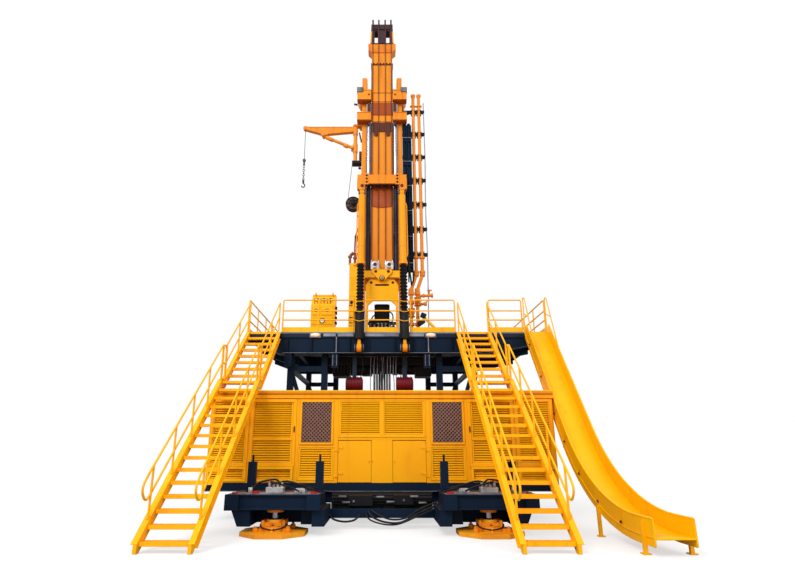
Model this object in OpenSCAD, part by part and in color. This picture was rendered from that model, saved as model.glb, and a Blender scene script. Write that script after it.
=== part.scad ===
// Deep well drilling rig: a drill floor on legs over a transverse power house,
// with a boxed mast, a slewing jib, two stairs and an escape slide.
// X runs across the rig, -Y is its front, +Z is up, ground is Z = 0.

/* [Feet] */
// Pad width across its flats
pad_across = 1250; // [900:10:1400]
// Pad plate thickness
pad_t = 80; // [50:5:120]
// Distance of a pad from the middle of the rig
pad_x = 2100; // [1950:10:2250]
// Place of the front pads
front_pad_y = -1900; // [-2100:10:-1800]
// Place of the rear pads
rear_pad_y = 6500; // [6300:10:6800]
// Jack rod diameter
jack_d = 150; // [100:5:220]
// How far a jack reaches down from its parked height
jack_travel = 250; // [100:10:300]
// Inner edge of a foot box
foot_in = 1190; // [1000:10:1300]
// Outer edge of a foot box
foot_out = 3020; // [2960:10:3100]
// Top of a foot box
foot_top = 750; // [700:10:820]
// Underside of the upper foot beam
foot_mid = 470; // [440:10:520]
// Underside of the lower foot box
foot_low = 170; // [150:5:200]
// Width of the long girder that joins front and rear feet
girder_w = 620; // [400:10:800]

/* [Power house] */
// House length across the rig
house_w = 8260; // [8000:10:8280]
// House depth
house_d = 2100; // [1800:10:2150]
// Underside of the house chassis
chassis_z = 650; // [600:10:700]
// Height of the house chassis
chassis_h = 190; // [150:10:240]
// Wall height between chassis and fascia
wall_h = 1940; // [1900:10:1980]
// Wall thickness
wall_t = 60; // [40:5:90]
// Roof fascia height
roof_h = 180; // [120:10:200]
// Width of a service door leaf
door_w = 785; // [700:5:800]
// Height of a service door leaf
door_h = 940; // [850:10:960]
// Leaf thickness
door_t = 45; // [30:5:55]
// Width of the fixed panel between the doors
door_gap = 510; // [460:10:560]

/* [Drill floor] */
// Height of the walking surface
floor_z = 4900; // [4700:10:5100]
// Front edge of the floor
floor_front = 2230; // [2200:10:2300]
// Floor depth
floor_d = 4900; // [4700:10:5200]
// Left edge of the floor
floor_left = 4000; // [3970:10:4200]
// Right edge of the floor
floor_right = 4880; // [4870:10:5000]
// Deck plate thickness
deck_t = 40; // [20:5:60]
// Edge plate height
edge_h = 150; // [100:10:180]
// Girder depth below the edge plate
girder_h = 490; // [380:10:560]
// Leg section
leg_w = 180; // [140:10:240]
// Inner leg line
leg_in = 1690; // [1600:10:1800]
// Outer leg line
leg_out = 2690; // [2600:10:2800]
// Guard rail height
rail_h = 1000; // [900:10:1150]
// Rail tube diameter
rail_d = 42; // [34:2:60]
// Toe board height
toe_h = 150; // [100:10:200]
// Opening of the rotary table
table_d = 700; // [500:10:800]
// Distance of the well centre behind the floor edge
well_in = 2250; // [2150:10:2400]

/* [Stairs] */
// Outer width of a stair
stair_w = 930; // [800:10:960]
// Stringer thickness
stringer_t = 60; // [40:5:80]
// Middle of the left stair
left_stair_x = -3470; // [-3500:10:-3450]
// Middle of the right stair
right_stair_x = 2690; // [2660:10:2720]
// Height of the first step
first_rise = 165; // [120:5:215]
// Going of a step
going = 271; // [250:1:275]
// Steps from the ground to the landing
lower_steps = 15; // [14:1:16]
// Steps from the landing to the floor
upper_steps = 8; // [7:1:9]
// Landing depth
landing_d = 510; // [450:10:600]
// Tread thickness
tread_t = 40; // [30:5:60]

/* [Slide] */
// Middle of the slide
slide_x = 4530; // [4530:10:4540]
// Outer width of the slide
slide_w = 670; // [600:10:680]
// Sheet thickness of the slide
slide_t = 25; // [15:5:40]
// Slope of the upper slide in degrees
slide_slope = 50; // [47:1:52]
// Radius of the run-out curve
slide_r = 4500; // [3800:50:4800]
// Height of the run-out
slide_run_z = 270; // [220:10:340]
// Front end of the slide
slide_end = -4300; // [-4500:10:-4200]
// Wall height above the slide bed
slide_wall = 280; // [200:10:350]
// Skirt depth below the slide bed
slide_skirt = 130; // [90:10:160]

/* [Mast] */
// Front plane of the mast foot
mast_front = 3000; // [2980:10:3040]
// Width of the centre column
column_w = 740; // [700:10:740]
// Depth of the centre column
column_d = 320; // [300:10:400]
// Middle of a side column
side_x = 625; // [625:5:640]
// Side column width
side_w = 160; // [140:5:160]
// Side column depth
side_d = 300; // [240:10:360]
// Top of the mast foot plate
foot_plate_z = 6780; // [6700:10:6850]
// Underside of the middle crossbeam
mid_beam_z = 10070; // [9950:10:10200]
// Underside of the lower head beam
head_low_z = 12550; // [12550:10:12700]
// Underside of the upper head beam
head_top_z = 13370; // [13300:10:13500]
// Height of the middle crossbeam
mid_beam_h = 330; // [280:10:400]
// Height of the lower head beam
head_low_h = 300; // [250:10:350]
// Height of the upper head beam
head_top_h = 400; // [350:10:450]
// Length of the crossbeams
beam_w = 1730; // [1680:10:1780]
// Top of the side columns
side_top = 14450; // [14300:10:14550]
// Top of the centre column, where the crown sits
column_top = 15500; // [15400:10:15600]
// Crown collar height
collar_h = 370; // [320:10:420]
// Crown height above the collar
crown_h = 1190; // [1150:10:1220]
// Crown width
crown_w = 860; // [840:10:900]
// Feed rod diameter
feed_rod_d = 150; // [120:5:150]
// Feed barrel diameter
feed_barrel_d = 150; // [140:5:150]
// Hoist rope diameter
rope_d = 26; // [18:1:32]
// Raising cylinder barrel diameter
raise_d = 230; // [180:5:235]
// Mast foot plate width
foot_plate_w = 1040; // [1000:10:1060]
// Width of the doorway in the mast foot
doorway_w = 870; // [780:10:880]
// Gaiter diameter
gaiter_d = 240; // [210:5:250]
// Distance of a raising cylinder from the middle
raise_x = 660; // [650:5:680]

/* [Jib] */
// Slewing axis, left of the middle
jib_x = 930; // [920:5:960]
// Reach of the jib from its slewing axis
jib_reach = 1800; // [1600:10:2000]
// Height of the jib's upper edge
jib_z = 12450; // [12400:10:12450]
// Slewing post diameter
jib_post_d = 130; // [100:5:150]
// Boom width
boom_w = 150; // [110:5:180]
// Height of the hook's underside
hook_z = 10080; // [9800:10:10300]

/* [Hidden] */
$fn = 32;

yellow = "#f2a516";
orange = "#e8922a";
navy = "#1c2a40";
black = "#1c1c1e";
chrome = "#d0d4d8";
crimson = "#7a1620";
grey = "#8a8e92";

// Play between a sliding or turning piece and its seat
play = 0.3;
// Clear room beside a moving piece
clear = 6;

chassis_top = chassis_z + chassis_h;
wall_top = chassis_top + wall_h;
roof_top = wall_top + roof_h;
roof_lip = 30;
floor_back = floor_front + floor_d;
edge_z = floor_z - edge_h;
deck_z = floor_z - deck_t;
girder_z = edge_z - girder_h;
well_y = floor_front + well_in;
base_mid = (front_pad_y + rear_pad_y) / 2;
front_leg_y = floor_front + 370;
rear_leg_y = floor_back - 500;
leg_plate = 90;

// The origin is the middle of the footprint.
x_left = -house_w / 2 - roof_lip;
x_right = max(slide_x + slide_w / 2 + leg_plate, floor_right);
y_front = slide_end;
y_back = max(rear_pad_y + pad_across / 2, floor_back);
site_x = (x_left + x_right) / 2;
site_y = (y_front + y_back) / 2;

module site() {
    translate([-site_x, -site_y, 0]) children();
}

// A box given by its low and high corners
module block(low, high) {
    translate(low) cube(high - low);
}

// A straight bar of a few sides between two points, turned on its axis by twist
module bar(from, to, d, sides = 8, twist = 0) {
    span = to - from;
    len = norm(span);
    translate(from)
        rotate([0, acos(span[2] / len), atan2(span[1], span[0])])
            rotate([0, 0, twist]) cylinder(d = d, h = len, $fn = sides);
}

// A square beam between two points of one upright plane across X
module strut_x(from, to, w) {
    span = to - from;
    len = norm(span);
    translate(from)
        rotate([0, -atan2(span[2], span[0]), 0])
            translate([0, -w / 2, -w / 2])
                cube([len, w, w]);
}

// A profile of [y, z] points, w wide in X, centred on x
module side_profile(points, x, w) {
    translate([x - w / 2, 0, 0])
        rotate([90, 0, 90])
            linear_extrude(w) polygon(points);
}

// A profile of [x, z] points between two Y planes
module front_profile(points, y0, y1) {
    translate([0, y1, 0])
        rotate([90, 0, 0])
            linear_extrude(y1 - y0) polygon(points);
}

// Left copies are the right ones mirrored.
module sided(side) {
    if (side < 0) mirror([1, 0, 0]) children();
    else children();
}

// Feet: a flanged upper beam, a lower housing round the jack and a long girder between front and rear
foot_reach = 1250;
foot_plate_t = 30;
sleeve_d = jack_d + 2 * clear;
collar_d = 330;
collar_t = 60;

foot_front = front_pad_y - 330;
foot_back = foot_front + foot_reach;
lower_front = front_pad_y + 420;
lower_back = foot_back + 200;
post_w = 160;
post_h = 590;
cheek_w = 240;
heel_in = foot_in - 80;
heel_top = foot_out - 110;
heel_out = foot_out - 240;

module foot_box() {
    difference() {
        union() {
            block([foot_in, foot_front, foot_top - foot_plate_t], [foot_out, foot_back, foot_top]);
            block([foot_in + 25, foot_front + 45, foot_mid], [foot_out - 25, foot_back, foot_top]);
            block([foot_in, foot_front, foot_mid], [foot_out, foot_back, foot_mid + foot_plate_t]);
        }
        translate([pad_x, front_pad_y, foot_mid - 1])
            cylinder(d = sleeve_d, h = foot_top - foot_mid + 2);
    }
    foot_housing();
}

// The back of the jack's housing and its two cheeks, under the upper beam
module foot_housing() {
    top = foot_mid - play;
    cheek_front = foot_front + 60;
    cheek_back = lower_front - play;
    front_profile([[heel_in, foot_low], [heel_out, foot_low], [heel_top, top], [heel_in, top]],
        lower_front, lower_back);
    block([heel_in, cheek_front, foot_low], [heel_in + cheek_w, cheek_back, top]);
    front_profile([
        [heel_out - cheek_w, foot_low], [heel_out, foot_low], [heel_top, top], [heel_out - cheek_w, top]
    ], cheek_front, cheek_back);
}

module foot_posts() {
    for (x = [foot_in + 35, foot_out - 380]) translate([x, lower_front, foot_top + play]) {
        cube([post_w, post_w, post_h]);
        translate([post_w / 2, post_w / 2, post_h - 1]) cylinder(d = 45, h = 141);
    }
}

module sponson(side) {
    sided(side) {
        foot_box();
        foot_posts();
        translate([0, 2 * base_mid, 0]) mirror([0, 1, 0]) foot_box();
        block([leg_in - girder_w / 2, lower_back + play, chassis_z - 270],
            [leg_in + girder_w / 2, 2 * base_mid - lower_back - play, chassis_z]);
        block([leg_in + girder_w / 2 + play, front_leg_y - leg_w, chassis_z - 200],
            [leg_out + leg_w, front_leg_y + leg_w, chassis_z]);
    }
}

module left_sponson() {
    color(navy) site() sponson(-1);
}

module right_sponson() {
    color(navy) site() sponson(1);
}

module tie_beams() {
    girder_in = leg_in - girder_w / 2;
    tie_low = foot_low + 30;
    tie_h = 175;
    color(navy) site() {
        for (y = [lower_front + 430, 2 * base_mid - lower_front - 590])
            block([-heel_in, y, tie_low], [heel_in, y + 160, tie_low + tie_h]);
        for (y = [150, house_d - 350, well_y + table_half + 50])
            block([-girder_in, y, chassis_z - 250], [girder_in, y + 200, chassis_z]);
    }
}

// Runs its children at the four jack places
module at_jack(x_side, y) {
    translate([x_side * pad_x, y, 0]) children();
}

module jack_collars() {
    color(orange) site()
        for (x_side = [-1, 1], y = [front_pad_y, rear_pad_y])
            at_jack(x_side, y) translate([0, 0, foot_mid - collar_t]) difference() {
                cylinder(d = collar_d, h = collar_t);
                translate([0, 0, -1]) cylinder(d = jack_d + 2 * play, h = collar_t + 2);
            }
}

module jack(x_side, y) {
    cup_h = 200;
    flange_h = 90;
    octagon_d = pad_across / cos(22.5);
    color(orange) site() at_jack(x_side, y) {
        rotate([0, 0, 22.5]) cylinder(d = octagon_d, h = pad_t, $fn = 8);
        translate([0, 0, pad_t - 1]) cylinder(d = 460, h = flange_h);
        translate([0, 0, pad_t - 1]) cylinder(d = 340, h = cup_h + 1);
        for (a = [0:90:270])
            rotate([0, 0, a]) block([200, -20, pad_t - 1], [300, 20, pad_t + flange_h - 25]);
        translate([0, 0, pad_t + cup_h - 1])
            cylinder(d = jack_d, h = foot_top - pad_t - cup_h - 20);
    }
}

module front_left_jack() {
    jack(-1, front_pad_y);
}

module front_right_jack() {
    jack(1, front_pad_y);
}

module rear_left_jack() {
    jack(-1, rear_pad_y);
}

module rear_right_jack() {
    jack(1, rear_pad_y);
}

// Power house
half_w = house_w / 2;
part_x = door_gap / 2 + door_w + clear;
upper_z = chassis_top + door_h + 20;
frame_w = 30;

// Openings of one half of the front, as [x0, x1, z0, z1]
upper_edge = chassis_top + 1870;
panel_foot = chassis_top + 420;
hatch_foot = chassis_top + 60;
hatch_top = chassis_top + 330;
window = [1220, 1920, chassis_top + 910, chassis_top + 1840];
low_louvre = [1170, 1960, chassis_top + 90, chassis_top + 780];
panel_louvre = [2150, 3110, panel_foot, upper_edge];
panel_split = panel_foot + 560;
hatch = [2120, 2950, hatch_foot, hatch_top];
outer_louvre = [3250, half_w - 80, panel_foot, upper_edge];
outer_hatch = [3250, half_w - 80, hatch_foot, hatch_top];
upper_louvre = [30, 1010, chassis_top + 1060, upper_edge];

module front_cut(o) {
    block([o[0], -1, o[2]], [o[1], wall_t + 1, o[3]]);
}

module house_chassis() {
    beam = 160;
    color(navy) site() {
        difference() {
            block([-half_w, 0, chassis_z], [half_w, house_d, chassis_top]);
            for (i = [0:5]) {
                bay = (house_w - beam) / 6;
                block([-half_w + beam + i * bay, beam, chassis_z - 1],
                    [-half_w + (i + 1) * bay, house_d - beam, chassis_top - 20]);
            }
        }
    }
}

// Wall knuckles that carry a door leaf
hinge_d = 24;
hinge_y = -hinge_d / 2 - 1;
hinge_x = door_gap / 2 + door_w + 2;
hinge_zs = [chassis_top + 180, chassis_top + door_h - 180];
knuckle_h = 60;

module wall_knuckles() {
    for (z = hinge_zs) {
        translate([hinge_x, hinge_y, z - knuckle_h - play]) cylinder(d = hinge_d, h = knuckle_h);
        block([hinge_x, -8, z - knuckle_h - play], [hinge_x + 90, 0, z - play]);
    }
}

module front_wall_side(side) {
    color(yellow) site() sided(side) {
        difference() {
            block([part_x, 0, chassis_top], [half_w, wall_t, wall_top]);
            for (o = [window, low_louvre, panel_louvre, hatch, outer_louvre, outer_hatch]) front_cut(o);
        }
        wall_knuckles();
    }
}

module front_wall_left() {
    front_wall_side(-1);
}

module front_wall_right() {
    front_wall_side(1);
}

module front_wall_upper() {
    color(yellow) site() difference() {
        block([-part_x, 0, upper_z], [part_x, wall_t, wall_top]);
        for (side = [-1, 1]) sided(side) front_cut(upper_louvre);
    }
}

module front_centre_panel() {
    half = door_gap / 2 - clear;
    color(yellow) site() block([-half, 0, chassis_top], [half, wall_t, upper_z]);
}

module back_wall() {
    color(yellow) site() difference() {
        block([-half_w, house_d - wall_t, chassis_top], [half_w, house_d, wall_top]);
        for (x = [-3:3])
            block([x * 1150 - 430, house_d - wall_t - 1, chassis_top + 900],
                [x * 1150 + 430, house_d - wall_t + 15, wall_top - 160]);
    }
}

module end_walls() {
    color(yellow) site() for (side = [-1, 1]) sided(side) difference() {
        block([half_w - wall_t, wall_t, chassis_top], [half_w, house_d - wall_t, wall_top]);
        block([half_w - 15, 350, chassis_top + 300], [half_w + 1, house_d - 350, wall_top - 160]);
    }
}

module house_roof() {
    sheet = 40;
    color(yellow) site() difference() {
        block([-half_w - roof_lip, -roof_lip, wall_top],
            [half_w + roof_lip, house_d + roof_lip, roof_top]);
        block([-half_w + wall_t, wall_t, wall_top - 1],
            [half_w - wall_t, house_d - wall_t, roof_top - sheet]);
    }
}

// A framed panel of sloping blades that fills an opening of the front wall
module louvre(o) {
    pitch = 50;
    blade_t = 6;
    blade_d = 60;
    inner_h = o[3] - o[2] - 2 * frame_w;
    count = floor(inner_h / pitch);
    step = inner_h / count;
    difference() {
        block([o[0], 0, o[2]], [o[1], wall_t, o[3]]);
        block([o[0] + frame_w, -1, o[2] + frame_w], [o[1] - frame_w, wall_t + 1, o[3] - frame_w]);
    }
    for (i = [0:count - 1])
        translate([o[0] + frame_w - 1, 6, o[2] + frame_w + i * step + 4])
            rotate([42, 0, 0])
                cube([o[1] - o[0] - 2 * frame_w + 2, blade_d, blade_t]);
}

// A framed window of crossed flat bars
module mesh_window(o) {
    bar_w = 8;
    columns = 5;
    rows = 7;
    difference() {
        block([o[0], -10, o[2]], [o[1], wall_t, o[3]]);
        block([o[0] + 45, -11, o[2] + 45], [o[1] - 45, wall_t + 1, o[3] - 45]);
    }
    for (i = [1:columns]) {
        x = o[0] + 45 + i * (o[1] - o[0] - 90) / (columns + 1);
        block([x - bar_w / 2, 14, o[2] + 40], [x + bar_w / 2, 22, o[3] - 40]);
    }
    for (i = [1:rows]) {
        z = o[2] + 45 + i * (o[3] - o[2] - 90) / (rows + 1);
        block([o[0] + 40, 12, z - bar_w / 2], [o[1] - 40, 20, z + bar_w / 2]);
    }
}

module grilles(side) {
    color(yellow) site() sided(side) {
        mesh_window(window);
        louvre(low_louvre);
        louvre([panel_louvre[0], panel_louvre[1], panel_split, panel_louvre[3]]);
        louvre([panel_louvre[0], panel_louvre[1], panel_louvre[2], panel_split - 1]);
        louvre(hatch);
        louvre(outer_louvre);
        louvre(outer_hatch);
    }
}

module left_grilles() {
    grilles(-1);
}

module right_grilles() {
    grilles(1);
}

module centre_louvres() {
    color(yellow) site() {
        louvre(upper_louvre);
        sided(-1) louvre(upper_louvre);
    }
}

// A leaf with a folded edge, hung on two strap hinges at its outer side
module door(side) {
    x0 = door_gap / 2 + play;
    x1 = x0 + door_w - 2;
    z0 = chassis_top + 10;
    color(yellow) site() sided(side) {
        difference() {
            block([x0, 0, z0], [x1, door_t, z0 + door_h - 5]);
            block([x0 + 25, 12, z0 + 25], [x1 - 25, door_t + 1, z0 + door_h - 30]);
        }
        for (z = hinge_zs) {
            translate([hinge_x, hinge_y, z]) cylinder(d = hinge_d, h = knuckle_h);
            block([x1 - 120, -8, z], [hinge_x, 0.01, z + knuckle_h]);
        }
    }
}

module left_door() {
    door(-1);
}

module right_door() {
    door(1);
}

// Legs: flat frames of two columns, a tie and a diagonal
tie_z = girder_z - 390;

module leg_frame(y, base) {
    half = leg_w / 2;
    for (x = [leg_in, leg_out])
        block([x - half, y - half, base], [x + half, y + half, girder_z]);
    block([leg_in, y - half + 20, tie_z - 70], [leg_out, y + half - 20, tie_z + 70]);
    strut_x([leg_in, y, base + 150], [leg_out, y, tie_z], 110);
}

module legs(side) {
    color(navy) site() sided(side) {
        leg_frame(front_leg_y, chassis_z);
        leg_frame(rear_leg_y, foot_top);
    }
}

module left_legs() {
    legs(-1);
}

module right_legs() {
    legs(1);
}

// Floor steelwork
flange_t = 30;
girder_flange = 200;
edge_t = 30;
table_half = table_d / 2 + 250;

// An I section along X
module girder_x(x0, x1, y) {
    block([x0, y - girder_flange / 2, girder_z], [x1, y + girder_flange / 2, girder_z + flange_t]);
    block([x0, y - 20, girder_z], [x1, y + 20, deck_z]);
    block([x0, y - girder_flange / 2, deck_z - flange_t], [x1, y + girder_flange / 2, deck_z]);
}

module cross_girders() {
    end = leg_out + leg_w / 2;
    color(navy) site() for (y = [front_leg_y, rear_leg_y]) girder_x(-end, end, y);
}

// Floor beams along Y, and the ties between the front and rear legs
module long_beams() {
    y0 = front_leg_y + girder_flange / 2;
    y1 = rear_leg_y - girder_flange / 2;
    half = leg_w / 2;
    color(navy) site() {
        for (x = [-leg_out, -leg_in, leg_in, leg_out])
            block([x - 60, y0, deck_z - 320], [x + 60, y1, deck_z]);
        for (x = [-leg_out, leg_out])
            block([x - 60, front_leg_y + half, tie_z - 60], [x + 60, rear_leg_y - half, tie_z + 60]);
    }
}

// The fascia girder with the ears of the raising cylinders, and tapered brackets under the wings
fascia_y = floor_front + edge_t;
fascia_d = 200;
ear_t = 40;

module wing(side, root, y0, y1) {
    tip = (side < 0 ? floor_left : floor_right) - edge_t;
    sided(side) front_profile([
        [root, deck_z], [tip, deck_z], [tip, deck_z - 240], [leg_out + 300, girder_z], [root, girder_z]
    ], y0, y1);
}

module wing_brackets() {
    color(navy) site() {
        for (side = [-1, 1]) {
            wing(side, 0, fascia_y, fascia_y + fascia_d);
            wing(side, leg_out + leg_w / 2, front_leg_y - 50, front_leg_y + 50);
            wing(side, leg_out + 60, well_y - 50, well_y + 50);
            wing(side, leg_out + leg_w / 2, rear_leg_y - 50, rear_leg_y + 50);
            for (ear = [-1, 1]) {
                x = side * raise_x + ear * (eye_w / 2 + play + ear_t / 2);
                side_profile([
                    [fascia_y + 1, girder_z + 20], [fascia_y + 1, girder_z + 300],
                    [raise_low[0] - 120, raise_low[1] + 110], [raise_low[0] - 120, raise_low[1] - 110]
                ], x, ear_t);
            }
        }
    }
}

// Deck plates with narrow joints round the rotary table, and an edge plate
module drill_floor() {
    joint = 4;
    hole = table_half;
    x0 = -floor_left;
    x1 = floor_right;
    y0 = floor_front;
    y1 = floor_back;
    rim = deck_z - play;
    color(grey) site() {
        block([x0, y0, deck_z], [x1, well_y - hole - joint, floor_z]);
        block([x0, well_y + hole + joint, deck_z], [x1, y1, floor_z]);
        block([x0, well_y - hole, deck_z], [-hole, well_y + hole, floor_z]);
        block([hole, well_y - hole, deck_z], [x1, well_y + hole, floor_z]);
        block([x0, y0, edge_z], [x1, y0 + edge_t, rim]);
        block([x0, y1 - edge_t, edge_z], [x1, y1, rim]);
        for (x = [x0, x1 - edge_t])
            block([x, y0 + edge_t + play, edge_z], [x + edge_t, y1 - edge_t - play, rim]);
    }
}

module rotary_table() {
    half = table_half;
    color(orange) site() translate([0, well_y, 0]) difference() {
        union() {
            block([-half, -half, floor_z - 150], [half, half, floor_z]);
            translate([0, 0, floor_z - 1]) cylinder(d = table_d + 300, h = 60, $fn = 64);
        }
        translate([0, 0, floor_z - 151]) cylinder(d = table_d, h = 212, $fn = 64);
    }
}

// A straight length of guard rail between two points of the floor, with a toe board
module rail_run(from, to) {
    span = to - from;
    len = norm(span);
    bays = max(1, round(len / 1150));
    translate([from[0], from[1], floor_z]) rotate([0, 0, atan2(span[1], span[0])]) {
        for (i = [0:bays]) {
            x = rail_d / 2 + i * (len - rail_d) / bays;
            translate([x, 0, 0]) cylinder(d = rail_d, h = rail_h, $fn = 8);
        }
        for (h = [rail_h, rail_h * 2 / 3, rail_h / 3 + 60])
            bar([0, 0, h - rail_d / 2], [len, 0, h - rail_d / 2], rail_d);
        block([0, -6, 0], [len, 6, toe_h]);
    }
}

rail_in = 40;
left_rail_x = -floor_left + rail_in;
right_rail_x = floor_right - rail_in;
front_rail_y = floor_front + rail_in;
rear_rail_y = floor_back - rail_in;
cylinder_room = 190;

module front_railing() {
    left_end = left_stair_x + stair_w / 2 + 60;
    right_end = right_stair_x - stair_w / 2 - 60;
    color(yellow) site() {
        rail_run([left_end, front_rail_y], [-raise_x - cylinder_room, front_rail_y]);
        rail_run([-raise_x + cylinder_room, front_rail_y], [raise_x - cylinder_room, front_rail_y]);
        rail_run([raise_x + cylinder_room, front_rail_y], [right_end, front_rail_y]);
        rail_run([right_stair_x + stair_w / 2 + 20, front_rail_y],
            [slide_x - slide_w / 2 - 40, front_rail_y]);
    }
}

module side_railings() {
    color(yellow) site() {
        rail_run([left_rail_x, front_rail_y], [left_rail_x, rear_rail_y - 60]);
        rail_run([right_rail_x, front_rail_y], [right_rail_x, rear_rail_y - 60]);
    }
}

module rear_railing() {
    color(yellow) site() rail_run([left_rail_x, rear_rail_y], [right_rail_x, rear_rail_y]);
}

// Two ribbed hoists and a bank of pipes under the floor
module under_hoists() {
    color(crimson) site() for (x = [-810, 660]) {
        y = front_leg_y;
        translate([x - 230, y, girder_z - 840]) rotate([0, 90, 0]) {
            cylinder(d = 400, h = 460);
            for (i = [0:4]) translate([0, 0, 30 + i * 95]) cylinder(d = 440, h = 20);
        }
        block([x - 60, y - 60, girder_z - 660], [x + 60, y + 60, girder_z]);
    }
}

module riser_hoses() {
    color(black) site()
        for (i = [-3:3])
            translate([i * 75, front_leg_y + girder_flange / 2 + 60, chassis_z])
                cylinder(d = 62, h = deck_z - chassis_z, $fn = 16);
}

// Stairs
rise = (floor_z - first_rise) / (lower_steps - 1 + upper_steps);
landing_z = first_rise + (lower_steps - 1) * rise;
landing_back = floor_front - (upper_steps - 1) * going;
landing_nose = landing_back - landing_d;
foot_nose = landing_nose - (lower_steps - 1) * going;
pitch = rise / going;
stringer_up = 40;
stringer_down = 190;
clear_w = stair_w - 2 * stringer_t;

// Height of the line through the noses of a flight
function lower_nose(y) = first_rise + pitch * (y - foot_nose);
function upper_nose(y) = landing_z + rise + pitch * (y - landing_back);

module stringer(x) {
    heel = foot_nose - 70;
    toe = foot_nose + (stringer_down - first_rise) / pitch;
    sole = landing_z - 150;
    side_profile([
        [heel, 0], [toe, 0],
        [landing_nose + (sole - landing_z + stringer_down) / pitch, sole],
        [landing_back + (sole - landing_z - rise + stringer_down) / pitch, sole],
        [floor_front, upper_nose(floor_front) - stringer_down], [floor_front, floor_z],
        [floor_front - stringer_up / pitch, floor_z],
        [landing_back - going, landing_z + stringer_up],
        [landing_nose, landing_z + stringer_up],
        [heel, lower_nose(heel) + stringer_up]
    ], x, stringer_t);
}

module stringers(x) {
    reach = (stair_w - stringer_t) / 2;
    color(yellow) site() for (side = [-1, 1]) stringer(x + side * reach);
}

module treads(x) {
    depth = going - 15;
    half = clear_w / 2;
    color(yellow) site() {
        for (i = [0:lower_steps - 2])
            translate([x - half, foot_nose + i * going, first_rise + i * rise - tread_t])
                cube([clear_w, depth, tread_t]);
        translate([x - half, landing_nose, landing_z - tread_t])
            cube([clear_w, landing_d - 15, tread_t]);
        for (i = [0:upper_steps - 2])
            translate([x - half, landing_back + i * going, landing_z + (i + 1) * rise - tread_t])
                cube([clear_w, depth, tread_t]);
    }
}

hand_h = 900;

// A rail that runs a little past both points, so that bends are closed
module bend_bar(from, to, twist) {
    past = (to - from) / norm(to - from) * rail_d / 4;
    bar(from - past, to + past, rail_d, 8, twist);
}

// A post on the stringer, from its upper edge to the top rail
module hand_post(x, y, nose, nose_ahead) {
    z = min(nose_ahead + stringer_up, floor_z) + play;
    bar([x, y, z], [x, y, nose + hand_h], rail_d, 8, 20);
}

// A two-rail handrail over one stringer, closed by a bow at the foot
module handrail(x) {
    bow = hand_h / 4;
    mid_h = hand_h * 3 / 4;
    turn = 30;
    half = rail_d / 2;
    y0 = foot_nose + 150;
    z0 = lower_nose(y0);
    y1 = landing_nose;
    y2 = landing_back - going;
    y3 = floor_front - half;
    for (h = [hand_h / 2, hand_h]) {
        bend_bar([x, y0, z0 + h], [x, y1, landing_z + h], 5);
        bend_bar([x, y1, landing_z + h], [x, y2, landing_z + h], 12);
        bar([x, y2, landing_z + h], [x, y3, upper_nose(y3) + h], rail_d, 8, 5);
    }
    for (a = [90:turn:240])
        bend_bar([x, y0 + bow * cos(a), z0 + mid_h + bow * sin(a)],
            [x, y0 + bow * cos(a + turn), z0 + mid_h + bow * sin(a + turn)], a / 9);
    for (i = [0:4]) {
        y = y0 + 180 + i * (y1 - y0 - 180) / 4;
        hand_post(x, y, lower_nose(y), lower_nose(y + half));
    }
    for (i = [1:2]) {
        y = y2 + i * (y3 - y2) / 2;
        hand_post(x, y, upper_nose(y), upper_nose(y + half));
    }
}

module handrails(x) {
    reach = (stair_w - stringer_t) / 2;
    color(yellow) site() for (side = [-1, 1]) handrail(x + side * reach);
}

module left_stringers() {
    stringers(left_stair_x);
}

module left_treads() {
    treads(left_stair_x);
}

module left_handrails() {
    handrails(left_stair_x);
}

module right_stringers() {
    stringers(right_stair_x);
}

module right_treads() {
    treads(right_stair_x);
}

module right_handrails() {
    handrails(right_stair_x);
}

// Slide: a bed that runs down, curves and levels out, between two walls
run_y = floor_front - slide_r * sin(slide_slope)
    - (floor_z - slide_run_z - slide_r * (1 - cos(slide_slope))) / tan(slide_slope);
curve_steps = 12;

// Line of the bed moved square to itself by off
function bed_line(off) = concat(
    [[floor_front - off * sin(slide_slope), floor_z + off * cos(slide_slope)]],
    [for (i = [curve_steps:-1:0])
        let (a = slide_slope * i / curve_steps)
        [run_y + (slide_r - off) * sin(a), slide_run_z + slide_r - (slide_r - off) * cos(a)]],
    [[slide_end, slide_run_z + off]]
);
function reversed(list) = [for (i = [len(list) - 1:-1:0]) list[i]];

module bed_band(low, high, x, w) {
    intersection() {
        side_profile(concat(bed_line(low), reversed(bed_line(high))), x, w);
        block([x - w, slide_end - 1, 0], [x + w, floor_front, floor_z + 2000]);
    }
}

module slide_bed() {
    color(yellow) site() bed_band(-slide_t, 0, slide_x, slide_w - 2 * slide_t);
}

module slide_walls() {
    reach = (slide_w - slide_t) / 2;
    color(yellow) site() for (side = [-1, 1])
        bed_band(-slide_skirt, slide_wall, slide_x + side * reach, slide_t);
}

module slide_supports() {
    reach = slide_w / 2;
    leg_y = slide_end + 260;
    prop_y = run_y + slide_r * sin(20);
    prop_z = slide_run_z + slide_r * (1 - cos(20)) - slide_skirt;
    color(orange) site() for (side = [-1, 1]) translate([slide_x + side * (reach + 30), 0, 0]) {
        block([-30, leg_y, 0], [30, leg_y + 60, slide_run_z + slide_wall - 60]);
        block([-60, leg_y - 40, 0], [60, leg_y + 100, 20]);
        block([-30, prop_y, 0], [30, prop_y + 60, prop_z + 150]);
        block([-60, prop_y - 40, 0], [60, prop_y + 100, 20]);
    }
}

// Mast
column_front = mast_front + 100;
column_back = column_front + column_d;
side_front = mast_front + 150;
side_back = side_front + side_d;
rope_y = mast_front + 45;
rope_xs = [-335, -118, 118, 335];
clamp_x = 226;
clamp_half = 140;
arch_cut = 150;
shoulder = [140, 210];
groove_x = 124;
link_z = foot_plate_z + 260;
clamp_z = foot_plate_z + 310;
clamp_top = foot_plate_z + 560;

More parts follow.
